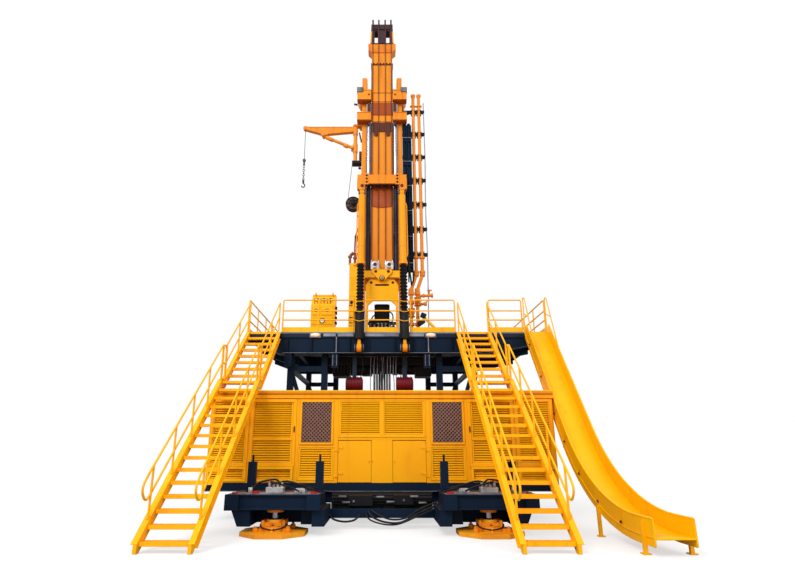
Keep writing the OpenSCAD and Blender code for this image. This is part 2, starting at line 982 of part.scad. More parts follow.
module mast_foot() {
    plate = 60;
    half = foot_plate_w / 2;
    arch_half = doorway_w / 2;
    crown_z = foot_plate_z - 720;
    shoulder_z = foot_plate_z - shoulder[1];
    color(yellow) site() {
        difference() {
            front_profile([
                [-half, floor_z], [half, floor_z], [half, shoulder_z], [half - shoulder[0], foot_plate_z],
                [shoulder[0] - half, foot_plate_z], [-half, shoulder_z]
            ], mast_front, mast_front + plate);
            front_profile([
                [-arch_half, floor_z - 1], [arch_half, floor_z - 1], [arch_half, crown_z - arch_cut],
                [arch_half - arch_cut, crown_z], [arch_cut - arch_half, crown_z],
                [-arch_half, crown_z - arch_cut]
            ], mast_front - 1, mast_front + plate + 1);
            block([-215, mast_front - 1, foot_plate_z - 230],
                [215, mast_front + plate + 1, foot_plate_z - 170]);
        }
        for (x = [-half, half - 40])
            block([x, mast_front + plate, floor_z], [x + 40, side_front, shoulder_z]);
    }
}

// A beam with a triangular link, its pin and two rope clamps
module equaliser() {
    beam_t = 120;
    half = 560;
    link_half = 330;
    apex = 80;
    link_front = mast_front - beam_t / 2 - 40;
    color(orange) site() {
        block([-half, mast_front - beam_t / 2, foot_plate_z],
            [half, mast_front + beam_t / 2, link_z]);
        front_profile([
            [-apex, foot_plate_z - apex], [apex, foot_plate_z - apex], [link_half, link_z - 60],
            [link_half, clamp_z], [-link_half, clamp_z], [-link_half, link_z - 60]
        ], link_front, mast_front - beam_t / 2 + 1);
        block([-link_half, mast_front - beam_t / 2, link_z - 1], [link_half, mast_front + 30, clamp_z]);
        translate([0, link_front - 50, foot_plate_z]) rotate([-90, 0, 0])
            cylinder(d = 130, h = 60);
        for (x = [-clamp_x, clamp_x])
            block([x - clamp_half, rope_y - 40, clamp_z], [x + clamp_half, rope_y + 40, clamp_top]);
    }
}

module mast_columns() {
    color(orange) site()
        for (x = [-side_x, side_x])
            block([x - side_w / 2, side_front, floor_z], [x + side_w / 2, side_back, side_top]);
}

// A head beam: boxes that close round the side columns and a plate across the centre column
beam_front = side_front - 240;
beam_back = side_back + 150;

module head_beam(z, h) {
    inner = column_w / 2 + 15;
    outer = beam_w / 2;
    cheek_in = side_x + side_w / 2;
    taper = [90, h * 0.45];
    for (side = [-1, 1]) sided(side) {
        block([inner, beam_front, z], [outer, side_front, z + h]);
        front_profile([
            [cheek_in, z], [outer - taper[0], z], [outer, z + taper[1]], [outer, z + h], [cheek_in, z + h]
        ], side_front - 1, beam_back);
    }
    block([-inner - 1, column_front - 25, z + 40], [inner + 1, column_front, z + h - 40]);
}

// The middle beam, with a lug at each end over a raising cylinder
mid_lug_h = 230;
mid_lug_w = 210;

module mast_beams() {
    mid_front = mast_front - 150;
    mid_back = rope_y - 20;
    mid_half = beam_w / 2 - 45;
    color(orange) site() {
        head_beam(head_low_z, head_low_h);
        head_beam(head_top_z, head_top_h);
        block([-mid_half, mid_front, mid_beam_z], [mid_half, mid_back, mid_beam_z + mid_beam_h]);
        for (side = [-1, 1]) sided(side) {
            block([side_x - side_w / 2, mid_back - 1, mid_beam_z],
                [side_x + side_w / 2, side_front, mid_beam_z + mid_beam_h]);
            block([raise_x - mid_lug_w / 2, mid_front, mid_beam_z - mid_lug_h],
                [raise_x + mid_lug_w / 2, mid_back, mid_beam_z + 1]);
        }
    }
}

module centre_column() {
    groove = 24;
    bottom = foot_plate_z + 200;
    color(orange) site() difference() {
        block([-column_w / 2, column_front, bottom], [column_w / 2, column_back, column_top]);
        for (x = [-groove_x, groove_x])
            block([x - groove / 2, column_front - 1, bottom - 1],
                [x + groove / 2, column_front + 12, column_top + 1]);
    }
}

// Collar, window block and four sheaves over the ropes
crown_mid = (column_front + column_back) / 2;
sheave_r = crown_mid - rope_y - rope_d / 2 - play;
sheave_z = column_top + collar_h + crown_h - sheave_r;

module crown() {
    half = crown_w / 2;
    flare = half + 70;
    body_z = column_top + collar_h;
    window_mid = 215;
    window_half = 62;
    color(orange) site() {
        front_profile([
            [-column_w / 2, column_top], [column_w / 2, column_top],
            [flare, column_top + 130], [flare, body_z],
            [-flare, body_z], [-flare, column_top + 130]
        ], column_front - 30, column_back + 20);
        difference() {
            front_profile([
                [-half, body_z - 1], [half, body_z - 1], [half - 40, body_z + 890], [40 - half, body_z + 890]
            ], column_front - 20, column_back + 10);
            for (x = [-window_mid, window_mid])
                block([x - window_half, column_front - 21, body_z + 30],
                    [x + window_half, column_back + 11, body_z + 590]);
        }
        for (x = rope_xs) translate([x - 22, crown_mid, sheave_z]) rotate([0, 90, 0])
            cylinder(r = sheave_r, h = 44, $fn = 48);
    }
}

// Chrome feed rods over dark barrels
module feed_cylinders() {
    x = column_w / 2 + 15 + feed_barrel_d / 2;
    feed_y = side_front - 45;
    color(chrome) site() for (side = [-1, 1]) {
        translate([side * x, feed_y, foot_plate_z + 300])
            cylinder(d = feed_barrel_d, h = mid_beam_z - foot_plate_z - 300);
        translate([side * x, feed_y, mid_beam_z])
            cylinder(d = feed_rod_d, h = head_low_z - mid_beam_z);
    }
}

module hoist_ropes() {
    z0 = clamp_top;
    color(black) site() for (x = rope_xs)
        translate([x, rope_y, z0]) cylinder(d = rope_d, h = sheave_z - z0, $fn = 16);
}

// Rotary head on its carriage behind the mast, over the well
head_up = 2400;
head_h = 800;
head_w = 660;
carriage_w = 840;
carriage_h = 1600;
motor_d = 260;
motor_h = 420;
quill_d = 190;
quill_h = 700;

module power_head() {
    z = floor_z + head_up;
    carriage_y = column_back + 120;
    color(yellow) site() {
        block([-carriage_w / 2, column_back + play, z - (carriage_h - head_h) / 2],
            [carriage_w / 2, carriage_y, z + (carriage_h + head_h) / 2]);
        block([-head_w / 2, carriage_y - 1, z], [head_w / 2, well_y + table_d / 2, z + head_h]);
        for (x = [-head_w * 0.3, head_w * 0.3])
            translate([x, well_y + 120, z + head_h - 1]) cylinder(d = motor_d, h = motor_h);
        translate([0, well_y, z - quill_h]) cylinder(d = quill_d, h = quill_h + 1);
        translate([0, well_y, z - quill_h * 0.4]) cylinder(d = quill_d * 1.7, h = quill_h * 0.3);
    }
}

// Raising cylinders lean from the ears of the fascia girder to the middle crossbeam
eye_w = 140;
eye_d = 230;
head_d = 200;
raise_low = [floor_front - 220, girder_z + 130];
raise_high = [mast_front - 100, mid_beam_z - mid_lug_h - head_d / 2 - play];
raise_lean = atan2(raise_high[0] - raise_low[0], raise_high[1] - raise_low[1]);
raise_len = norm(raise_high - raise_low);
gaiter_share = 0.5;

module at_raise(x_side) {
    translate([x_side * raise_x, raise_low[0], raise_low[1]]) rotate([-raise_lean, 0, 0]) children();
}

module raise_cylinders() {
    start = raise_len * gaiter_share;
    color(yellow) site() for (side = [-1, 1]) at_raise(side) {
        translate([0, 0, start]) cylinder(d = raise_d, h = raise_len - start - head_d / 2);
        translate([0, 0, start]) cylinder(d = raise_d + 40, h = 90);
        translate([-eye_w / 2, 0, raise_len]) rotate([0, 90, 0]) cylinder(d = head_d, h = eye_w);
        block([-45, -45, raise_len - head_d / 2 - 60], [45, 45, raise_len]);
        translate([-eye_w / 2, 0, 0]) rotate([0, 90, 0]) cylinder(d = eye_d, h = eye_w);
        block([-45, -45, 0], [45, 45, 300]);
    }
}

module rod_gaiters() {
    first = 300;
    fold = 110;
    fold_d = 42;
    root_r = gaiter_d / 2 - fold_d;
    last = raise_len * gaiter_share;
    count = floor((last - first) / fold);
    step = (last - first) / count;
    color(black) site() for (side = [-1, 1]) at_raise(side) translate([0, 0, first])
        rotate_extrude() polygon(concat(
            [[0, 0]],
            [for (i = [0:count - 1], k = [0, 1]) [root_r + k * fold_d, (i + k / 2) * step]],
            [[root_r, last - first], [0, last - first]]
        ));
}

// Cabinet and console on the floor
module side_cabinet() {
    color(yellow) site() {
        block([-1040, mast_front - 40, floor_z], [-765, mast_front + 360, floor_z + 2400]);
        block([-1030, mast_front - 100, floor_z + 1000], [-880, mast_front - 40, floor_z + 1250]);
        block([-1030, mast_front - 90, floor_z + 450], [-860, mast_front - 40, floor_z + 800]);
    }
}

module driller_console() {
    y = mast_front - 150;
    top = floor_z + 1370;
    slope = [350, 380];
    color(yellow) site() {
        side_profile([
            [y, floor_z], [y + 550, floor_z], [y + 550, top], [y + slope[0], top], [y, top - slope[1]]
        ], -1830, 740);
        for (x = [-2050, -1830, -1610])
            translate([x, y + slope[0] / 2, top - slope[1] / 2]) rotate([atan2(slope[1], slope[0]), 0, 0])
                translate([0, 0, -5]) cylinder(d = 150, h = 30);
    }
}

// Two standpipes clipped to the mast, with a valve manifold at their foot
pipe_xs = [1110, 1310];
pipe_y = mast_front + 260;
pipe_d = 110;
clip_w = 60;

pipe_jog = 180;
jog_top = floor_z + 2100;
jog_foot = floor_z + 1560;

module standpipes() {
    clip_foot = floor_z + 2740;
    clip_step = 900;
    z1 = side_top - 760;
    low_y = pipe_y - 60;
    color(orange) site() {
        for (x = pipe_xs) {
            foot_x = x - pipe_jog;
            translate([x, pipe_y, jog_top]) cylinder(d = pipe_d, h = z1 - jog_top);
            bar([foot_x, low_y, jog_foot], [x, pipe_y, jog_top], pipe_d, 32);
            translate([foot_x, low_y, floor_z]) cylinder(d = pipe_d, h = jog_foot - floor_z);
            for (bend = [[foot_x, low_y, jog_foot], [x, pipe_y, jog_top]])
                translate(bend) sphere(d = pipe_d + 8);
            for (z = [jog_top + 60, jog_top + 560]) translate([x, pipe_y, z]) cylinder(d = 190, h = 60);
            for (h = [400, 1100, 1400]) translate([foot_x, low_y, floor_z + h]) cylinder(d = 190, h = 90);
        }
        for (i = [0:6]) {
            z = clip_foot + i * clip_step;
            block([side_x + side_w / 2, pipe_y - clip_w / 2, z],
                [pipe_xs[1] + 90, pipe_y + clip_w / 2, z + 90]);
        }
    }
}

// Navy lines between the side column and the standpipes
module pipe_cluster() {
    foot = jog_top + 60;
    color(navy) site() for (x = [790, 930])
        translate([x, pipe_y - clip_w / 2 - pipe_d / 2 - play, foot])
            cylinder(d = pipe_d, h = head_low_z - clear - foot);
}

// Jib: a bracket on the left side column, and the slewing boom
post_y = mast_front + 250;
post_z0 = jib_z - 1390;
post_z1 = jib_z + 20;
lug_t = 70;
winch_z = mid_beam_z - 580;
reel_d = 500;
reel_w = 180;

module jib_bracket() {
    color(orange) site() {
        for (z = [post_z0 - lug_t, post_z1]) difference() {
            union() {
                block([-jib_x, post_y - 90, z], [-side_x - side_w / 2, post_y + 90, z + lug_t]);
                translate([-jib_x, post_y, z]) cylinder(d = 180, h = lug_t);
            }
            translate([-jib_x, post_y, z - 1]) cylinder(d = 60 + 2 * play, h = lug_t + 2);
        }
        translate([-jib_x - 40, post_y - reel_w / 2, winch_z]) rotate([-90, 0, 0]) {
            cylinder(d = reel_d, h = 20);
            cylinder(d = reel_d * 0.6, h = reel_w);
            translate([0, 0, reel_w - 20]) cylinder(d = reel_d, h = 20);
        }
        block([-jib_x, post_y + reel_w / 2 - 1, winch_z - 100],
            [-side_x - side_w / 2, post_y + reel_w / 2 + 60, winch_z + 100]);
        block([-side_x - side_w / 2 - 60, side_front, winch_z - 100],
            [-side_x - side_w / 2, post_y + reel_w / 2, winch_z + 100]);
    }
}

module jib() {
    tip = -jib_x - jib_reach;
    root = -jib_x;
    deep = root - jib_reach * 0.62;
    strut_z = jib_z - 830;
    color(orange) site() {
        translate([root, post_y, post_z0 + play]) cylinder(d = jib_post_d, h = post_z1 - post_z0 - 2 * play);
        for (z = [post_z0 - lug_t + 10, post_z1 - play - 1])
            translate([root, post_y, z]) cylinder(d = 60, h = lug_t - 9);
        front_profile([
            [root, jib_z - 190], [root, jib_z], [tip, jib_z], [tip, jib_z - 90],
            [deep - 110, jib_z - 270], [deep, jib_z - 390], [deep + 150, jib_z - 285]
        ], post_y - boom_w / 2, post_y + boom_w / 2);
        bar([deep, post_y, jib_z - 340], [root - 30, post_y, strut_z], 110, 24);
        block([root - 140, post_y - 60, strut_z - 80], [root, post_y + 60, strut_z + 80]);
        translate([tip + 40, post_y + 60, jib_z - 40]) rotate([90, 0, 0]) cylinder(d = 160, h = 120);
    }
}

module hook_line() {
    x = -jib_x - jib_reach + 40;
    color(black) site() translate([x, post_y, 0]) {
        translate([0, 0, hook_z + 130]) cylinder(d = 18, h = jib_z - 120 - play - hook_z - 130);
        translate([0, 0, jib_z - 1290]) sphere(d = 150);
        translate([0, 0, hook_z + 130]) cylinder(d = 60, h = 260);
        translate([0, 20, hook_z + 90]) rotate([90, 0, 0]) difference() {
            cylinder(d = 180, h = 40);
            translate([0, 0, -1]) cylinder(d = 90, h = 42);
        }
    }
}

left_sponson();
right_sponson();
tie_beams();
jack_collars();
front_left_jack();
front_right_jack();
rear_left_jack();
rear_right_jack();
house_chassis();
front_wall_left();
front_wall_right();
front_wall_upper();
front_centre_panel();
back_wall();
end_walls();
house_roof();
left_grilles();
right_grilles();
centre_louvres();
left_door();
right_door();
left_legs();
right_legs();
cross_girders();
long_beams();
wing_brackets();
drill_floor();
rotary_table();
front_railing();
side_railings();
rear_railing();
under_hoists();
riser_hoses();
left_stringers();
left_treads();
left_handrails();
right_stringers();
right_treads();
right_handrails();
slide_bed();
slide_walls();
slide_supports();
mast_foot();
equaliser();
mast_columns();
mast_beams();
centre_column();
crown();
feed_cylinders();
hoist_ropes();
power_head();
raise_cylinders();
rod_gaiters();
side_cabinet();
driller_console();
standpipes();
pipe_cluster();
jib_bracket();
jib();
hook_line();
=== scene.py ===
"""Looks of the deep well drilling rig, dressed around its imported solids.

Places are written in metres from the middle of the mast (X), the front face
of the power house (Y, the stairs are at minus Y) and the ground (Z).
"""

import contextlib
import math

import bpy
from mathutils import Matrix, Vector


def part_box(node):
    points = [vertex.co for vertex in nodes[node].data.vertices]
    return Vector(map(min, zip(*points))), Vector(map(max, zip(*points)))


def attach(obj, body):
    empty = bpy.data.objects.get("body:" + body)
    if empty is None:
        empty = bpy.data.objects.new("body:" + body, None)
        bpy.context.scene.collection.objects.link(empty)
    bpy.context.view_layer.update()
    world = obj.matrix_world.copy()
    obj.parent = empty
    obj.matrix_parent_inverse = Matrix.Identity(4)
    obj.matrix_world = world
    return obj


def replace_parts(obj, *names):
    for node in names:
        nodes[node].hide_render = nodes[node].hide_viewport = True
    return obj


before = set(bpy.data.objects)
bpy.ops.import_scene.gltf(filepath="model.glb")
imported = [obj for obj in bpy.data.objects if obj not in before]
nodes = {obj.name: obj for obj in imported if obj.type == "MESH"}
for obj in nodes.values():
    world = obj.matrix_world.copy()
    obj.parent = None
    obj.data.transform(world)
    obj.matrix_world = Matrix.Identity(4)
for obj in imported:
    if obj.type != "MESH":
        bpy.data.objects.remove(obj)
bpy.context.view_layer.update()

column_low, column_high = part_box("centre_column")
house_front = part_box("front_wall_upper")[0].y
ZERO = Vector(((column_low.x + column_high.x) / 2, house_front, 0))


def spot(x, y, z):
    """A place of the rig in the frame of the solids."""
    return ZERO + Vector((x, y, z))


# Camera at the photograph's angle

scene = bpy.context.scene
IMAGE_W, FOCAL_PX, MIDDLE_PX = 795, 541, 382
EYE, UPWARD = (0, -13.4, 1.575), 16.86
SENSOR = 36

camera_data = bpy.data.cameras.new("camera")
camera_data.sensor_fit = "HORIZONTAL"
camera_data.sensor_width = SENSOR
camera_data.lens = SENSOR * FOCAL_PX / IMAGE_W
camera_data.shift_x = 0.5 - MIDDLE_PX / IMAGE_W
camera_data.clip_end = 500
camera = bpy.data.objects.new("camera", camera_data)
camera.location = spot(*EYE)
camera.rotation_euler = (math.radians(90 + UPWARD), 0, 0)
scene.collection.objects.link(camera)
scene.camera = camera
scene.view_settings.view_transform = "Standard"


# Finishes


class Shade:
    """A value on a surface. Python's operators add Math nodes."""

    def __init__(self, finish, socket):
        self.finish = finish
        self.socket = socket

    def math(self, operation, first, second):
        return self.finish.node("ShaderNodeMath", {"operation": operation}, {0: first, 1: second})

    def __add__(self, other):
        return self.math("ADD", self, other)

    def __radd__(self, other):
        return self.math("ADD", other, self)

    def __sub__(self, other):
        return self.math("SUBTRACT", self, other)

    def __rsub__(self, other):
        return self.math("SUBTRACT", other, self)

    def __mul__(self, other):
        return self.math("MULTIPLY", self, other)

    def __rmul__(self, other):
        return self.math("MULTIPLY", other, self)

    def between(self, low, high):
        """0 at low and 1 at high, held there beyond."""
        return self.finish.node(
            "ShaderNodeMapRange", {"interpolation_type": "SMOOTHSTEP"}, {0: self, 1: low, 2: high})


class Finish:
    """One material, built from nodes."""

    def __init__(self, name, **fixed):
        self.material = bpy.data.materials.new(name)
        self.material.use_nodes = True
        self.tree = self.material.node_tree
        self.shader = self.tree.nodes["Principled BSDF"]
        for socket, value in fixed.items():
            self.shader.inputs[socket.replace("_", " ")].default_value = value
        self.place = self.node("ShaderNodeTexCoord", output="Object")

    def node(self, kind, settings=None, values=None, output=0):
        made = self.tree.nodes.new(kind)
        for key, value in (settings or {}).items():
            setattr(made, key, value)
        for key, value in (values or {}).items():
            if isinstance(value, Shade):
                self.tree.links.new(value.socket, made.inputs[key])
            else:
                made.inputs[key].default_value = value
        return Shade(self, made.outputs[output])

    def feed(self, socket, value):
        self.tree.links.new(value.socket, self.shader.inputs[socket])

    def height(self):
        """How far a place of the piece is above the ground."""
        return self.node("ShaderNodeSeparateXYZ", None, {0: self.place}, output="Z")

    def stretched(self, scale):
        return self.node("ShaderNodeMapping", None, {"Vector": self.place, "Scale": scale})

    def noise(self, scale, detail=3.0, place=None):
        return self.node(
            "ShaderNodeTexNoise", None,
            {"Vector": place or self.place, "Scale": scale, "Detail": detail})

    def mix(self, share, first, second):
        return self.node(
            "ShaderNodeMix", {"data_type": "RGBA"}, {0: share, 6: first, 7: second}, output=2)

    def rounded(self, radius):
        """The surface's normal with its edges softened."""
        return self.node("ShaderNodeBevel", {"samples": 4}, {"Radius": radius})

    def edges(self, soft):
        """1 along edges, 0 on flat faces."""
        true_normal = self.node("ShaderNodeNewGeometry", output="Normal")
        along = self.node(
            "ShaderNodeVectorMath", {"operation": "DOT_PRODUCT"}, {0: soft, 1: true_normal},
            output="Value")
        return (1 - along).between(0.01, 0.18)

    def bump(self, height, strength, distance, normal=None):
        values = {"Height": height, "Strength": strength, "Distance": distance}
        if normal is not None:
            values["Normal"] = normal
        self.feed("Normal", self.node("ShaderNodeBump", None, values))


def rgb(red, green, blue):
    """A colour from its screen values, 0 to 255."""
    def light(value):
        value /= 255
        return value / 12.92 if value <= 0.04045 else ((value + 0.055) / 1.055) ** 2.4
    return (light(red), light(green), light(blue), 1)


def paint(name, base, deep, dust, gloss=0.38, dirt=0.35, edge=0.012, sheen=0.14):
    """Brushed steel paint: uneven tone, rain streaks, rubbed edges and a fine orange peel."""
    f = Finish(name, Specular_IOR_Level=sheen, Coat_Weight=sheen * 0.4, Coat_Roughness=0.2)
    cloud = f.noise(0.55, 4).between(0.35, 0.72)
    streak = f.noise(1.0, 5, f.stretched((7.0, 7.0, 0.45))).between(0.52, 0.78)
    speck = f.noise(38.0, 2)
    soft = f.rounded(edge)
    rub = f.edges(soft)
    tone = f.mix(cloud * 0.6, base, deep)
    tone = f.mix(streak * dirt, tone, dust)
    tone = f.mix(rub * speck.between(0.3, 0.6) * 0.45, tone, dust)
    f.feed("Base Color", tone)
    f.feed("Roughness", gloss + streak * 0.18 + cloud * 0.06)
    f.bump(f.noise(220.0, 1), 0.06, 0.002, soft)
    return f.material


def steel(name, light, dark, rough, metallic, grain=(60.0, 60.0, 4.0)):
    """Bare or galvanised metal with a drawn grain."""
    f = Finish(name, Metallic=metallic)
    line = f.noise(1.0, 4, f.stretched(grain))
    cloud = f.noise(3.0, 4)
    f.feed("Base Color", f.mix(cloud.between(0.3, 0.7), light, dark))
    f.feed("Roughness", rough + line * 0.2)
    f.bump(line, 0.12, 0.002, f.rounded(0.006))
    return f.material


def rubber(name, light, dark):
    f = Finish(name, Specular_IOR_Level=0.2)
    cloud = f.noise(5.0, 4)
    f.feed("Base Color", f.mix(cloud.between(0.35, 0.7), dark, light))
    f.feed("Roughness", 0.42 + cloud * 0.25)
    f.bump(f.noise(160.0, 2), 0.15, 0.002)
    return f.material


def rope_wire(name, light, dark):
    """Laid steel wire: slanting strands round a rope that hangs upright."""
    f = Finish(name, Metallic=0.6)
    strand = f.node(
        "ShaderNodeTexWave", {"wave_type": "BANDS", "bands_direction": "DIAGONAL"},
        {"Vector": f.place, "Scale": 22.0})
    f.feed("Base Color", f.mix(strand, dark, light))
    f.feed("Roughness", 0.35 + strand * 0.25)
    f.bump(strand, 0.5, 0.004)
    return f.material


def tread_plate(name, light, dark, edge, edge_top):
    """Raised lozenges on steel sheet, scuffed by boots, over a painted edge."""
    f = Finish(name, Metallic=0.3, Specular_IOR_Level=0.3)
    one = f.node("ShaderNodeTexWave", {"bands_direction": "DIAGONAL"},
                 {"Vector": f.stretched((1, 1, 0)), "Scale": 9.0})
    two = f.node("ShaderNodeTexWave", {"bands_direction": "DIAGONAL"},
                 {"Vector": f.stretched((1, -1, 0)), "Scale": 9.0})
    over = f.height().between(edge_top - 0.003, edge_top + 0.003)
    raised = (one * two).between(0.35, 0.55) * over
    scuff = f.noise(1.6, 5).between(0.4, 0.7)
    f.feed("Base Color", f.mix(over, edge, f.mix(scuff, dark, light)))
    f.feed("Roughness", 0.62 - raised * 0.2)
    f.bump(raised, 0.4, 0.004, f.rounded(0.006))
    return f.material


def two_coat(name, parting, lower, upper):
    """Two finishes parted at a height, each a colour, a worn colour, roughness and metal."""
    f = Finish(name, Specular_IOR_Level=0.2)
    over = f.height().between(parting - 0.003, parting + 0.003)
    cloud = f.noise(2.2, 5).between(0.35, 0.7)
    rub = f.edges(f.rounded(0.01)) * f.noise(30.0, 2).between(0.35, 0.6)
    worn = cloud * 0.8 + rub * 0.2
    below, above = f.mix(worn, lower[0], lower[1]), f.mix(worn, upper[0], upper[1])
    f.feed("Base Color", f.mix(over, below, above))
    f.feed("Roughness", lower[2] + over * (upper[2] - lower[2]) + cloud * 0.08)
    f.feed("Metallic", lower[3] + over * (upper[3] - lower[3]))
    f.bump(f.noise(180.0, 1), 0.06, 0.002, f.rounded(0.008))
    return f.material


def plain(name, colour, rough, metallic=0.0, depth=0.15):
    """A small fitting's finish: one colour with slight wear."""
    f = Finish(name, Metallic=metallic, Specular_IOR_Level=0.2)
    cloud = f.noise(9.0, 4)
    worn = tuple(c * (1 - depth) for c in colour[:3]) + (1,)
    f.feed("Base Color", f.mix(cloud.between(0.35, 0.7), colour, worn))
    f.feed("Roughness", rough + cloud * 0.12)
    f.bump(f.noise(120.0, 2), 0.05, 0.002, f.rounded(0.004))
    return f.material


house_yellow = paint("house_yellow", rgb(255, 175, 4), rgb(250, 162, 2), rgb(206, 112, 10))
# House yellow painted lighter for the louvres, a painted highlight that offsets the shade between
# the slats.
louvre_lit_yellow = paint("louvre_lit_yellow", rgb(255, 186, 14), rgb(255, 172, 8), rgb(232, 138, 20))
stair_yellow = paint("stair_yellow", rgb(255, 186, 8), rgb(250, 168, 6), rgb(214, 118, 8),
                     edge=0.006)
slide_yellow = paint("slide_yellow", rgb(255, 190, 6), rgb(252, 174, 4), rgb(226, 138, 10), 0.3)
mast_orange = paint("mast_orange", rgb(234, 142, 36), rgb(222, 126, 24), rgb(150, 66, 14),
                    dirt=0.45)
# Dark orange used as painted shade on the mast and under the roof trim.
painted_shade_orange = paint("painted_shade_orange", rgb(164, 72, 22), rgb(132, 52, 18), rgb(84, 36, 18), dirt=0.5)
barrel_yellow = paint("barrel_yellow", rgb(255, 186, 8), rgb(252, 170, 6), rgb(196, 106, 14), 0.3)
cylinder_amber = paint("cylinder_amber", rgb(242, 154, 10), rgb(230, 136, 8), rgb(176, 88, 14), 0.3)
roof_amber = paint("roof_amber", rgb(246, 156, 4), rgb(238, 140, 4), rgb(196, 98, 10))
pad_orange = paint("pad_orange", rgb(238, 142, 20), rgb(214, 112, 14), rgb(120, 58, 18), dirt=0.6)
deep_navy = paint("deep_navy", rgb(18, 34, 54), rgb(14, 26, 42), rgb(40, 48, 60), 0.45, 0.2,
                  sheen=0.05)
# Dark brown for bolts, lugs and stays, also used as painted shade on the column and the beams.
crown_brown = paint("crown_brown", rgb(92, 46, 28), rgb(58, 32, 28), rgb(30, 20, 22), dirt=0.6)
hoist_crimson = paint("hoist_crimson", rgb(112, 14, 30), rgb(78, 10, 22), rgb(44, 12, 16),
                      sheen=0.08)
deck_steel = tread_plate("deck_steel", rgb(148, 150, 152), rgb(120, 122, 126), rgb(20, 32, 50),
                         4.858)
edge_grey = steel("edge_grey", rgb(140, 142, 152), rgb(98, 102, 114), 0.4, 0.3, (4.0, 4.0, 60.0))
clamp_silver = steel("clamp_silver", rgb(206, 204, 202), rgb(148, 146, 148), 0.3, 0.8)
cover_grey = steel("cover_grey", rgb(122, 124, 124), rgb(82, 84, 86), 0.45, 0.3)
hose_black = rubber("hose_black", rgb(36, 36, 40), rgb(14, 14, 16))
gaiter_black = rubber("gaiter_black", rgb(21, 23, 28), rgb(7, 8, 10))
rope_dark = rope_wire("rope_dark", rgb(92, 84, 80), rgb(34, 28, 28))
rope_rust = rope_wire("rope_rust", rgb(140, 76, 40), rgb(70, 38, 28))
mesh_brown = plain("mesh_brown", rgb(150, 112, 98), 0.5, 0.2)
core_dark = plain("core_dark", rgb(74, 46, 40), 0.7)
box_black = plain("box_black", rgb(16, 16, 20), 0.55)
valve_red = plain("valve_red", rgb(176, 32, 30), 0.35)
pipe_blush = plain("pipe_blush", rgb(146, 84, 56), 0.45, 0.2)
dial_white = plain("dial_white", rgb(238, 236, 226), 0.3)
lamp_pale = plain("lamp_pale", rgb(250, 232, 206), 0.2)
bolt_zinc = steel("bolt_zinc", rgb(150, 140, 126), rgb(96, 88, 80), 0.4, 0.7)

ORANGE_COAT = rgb(226, 132, 30), rgb(196, 96, 20), 0.4, 0.0
YELLOW_COAT = rgb(254, 180, 14), rgb(244, 158, 8), 0.35, 0.0
CHROME_COAT = rgb(176, 176, 188), rgb(138, 138, 154), 0.22, 1.0
SHEAVE_COAT = rgb(64, 44, 52), rgb(36, 26, 36), 0.5, 0.1
SILVER_COAT = rgb(222, 220, 218), rgb(150, 146, 144), 0.3, 0.7
crown_coat = two_coat("crown_coat", 15.86, ORANGE_COAT, SHEAVE_COAT)
feed_coat = two_coat("feed_coat", 10.07, (rgb(46, 42, 52), rgb(24, 22, 30), 0.45, 0.2), CHROME_COAT)
jack_coat = two_coat("jack_coat", 0.281, (rgb(255, 172, 30), rgb(232, 134, 22), 0.45, 0.0),
                     CHROME_COAT)
hoist_coat = two_coat("hoist_coat", 3.6, (rgb(112, 14, 30), rgb(60, 10, 18), 0.4, 0.0),
                      (rgb(18, 34, 54), rgb(14, 26, 42), 0.4, 0.0))
bracket_coat = two_coat("bracket_coat", 11.4, (rgb(92, 66, 60), rgb(46, 36, 38), 0.5, 0.2),
                        ORANGE_COAT)
equaliser_coat = two_coat("equaliser_coat", 7.088, YELLOW_COAT, SILVER_COAT)

FINISH_OF = {
    deep_navy: "left_sponson right_sponson tie_beams house_chassis left_legs right_legs"
               " cross_girders long_beams wing_brackets pipe_cluster",
    pad_orange: "jack_collars",
    jack_coat: "front_left_jack front_right_jack rear_left_jack rear_right_jack",
    mast_orange: "mast_columns mast_beams centre_column standpipes jib rotary_table",
    bracket_coat: "jib_bracket",
    equaliser_coat: "equaliser",
    house_yellow: "front_wall_left front_wall_right front_wall_upper front_centre_panel"
                  " back_wall end_walls left_door right_door",
    roof_amber: "house_roof",
    louvre_lit_yellow: "left_grilles right_grilles centre_louvres",
    stair_yellow: "front_railing side_railings rear_railing left_stringers left_treads"
                  " left_handrails right_stringers right_treads right_handrails slide_supports",
    slide_yellow: "slide_bed slide_walls",
    barrel_yellow: "mast_foot power_head side_cabinet driller_console",
    cylinder_amber: "raise_cylinders",
    deck_steel: "drill_floor",
    crown_coat: "crown",
    hoist_coat: "under_hoists",
    hose_black: "riser_hoses",
    gaiter_black: "rod_gaiters",
    rope_rust: "hoist_ropes",
    rope_dark: "hook_line",
    feed_coat: "feed_cylinders",
}
for finish, names in FINISH_OF.items():
    for name in names.split():
        nodes[name].data.materials.clear()
        nodes[name].data.materials.append(finish)


# Bench tools


def pick(*chosen):
    bpy.ops.object.select_all(action="DESELECT")
    for piece in chosen:
        piece.select_set(True)
        bpy.context.view_layer.objects.active = piece


def apply_place(piece):
    pick(piece)
    bpy.ops.object.transform_apply(location=True, rotation=True, scale=True)


@contextlib.contextmanager
def editing(piece):
    """Edit Mode with all of the piece selected."""
    pick(piece)
    bpy.ops.object.mode_set(mode="EDIT")
    bpy.ops.mesh.select_all(action="SELECT")
    yield
    bpy.ops.object.mode_set(mode="OBJECT")


def copied(piece):
    pick(piece)
    bpy.ops.object.duplicate()
    return bpy.context.object


def break_edges(piece, width):
    with editing(piece):
        bpy.ops.mesh.bevel(offset=width, segments=1, affect="EDGES")


def smooth(piece, degrees=35):
    pick(piece)
    bpy.ops.object.shade_smooth_by_angle(angle=math.radians(degrees))


def join(made):
    pick(*made[1:], made[0])
    bpy.ops.object.join()
    return bpy.context.object


def as_one(made):
    """A list of pieces joined to one, or the piece itself."""
    return join(made) if isinstance(made, list) else made


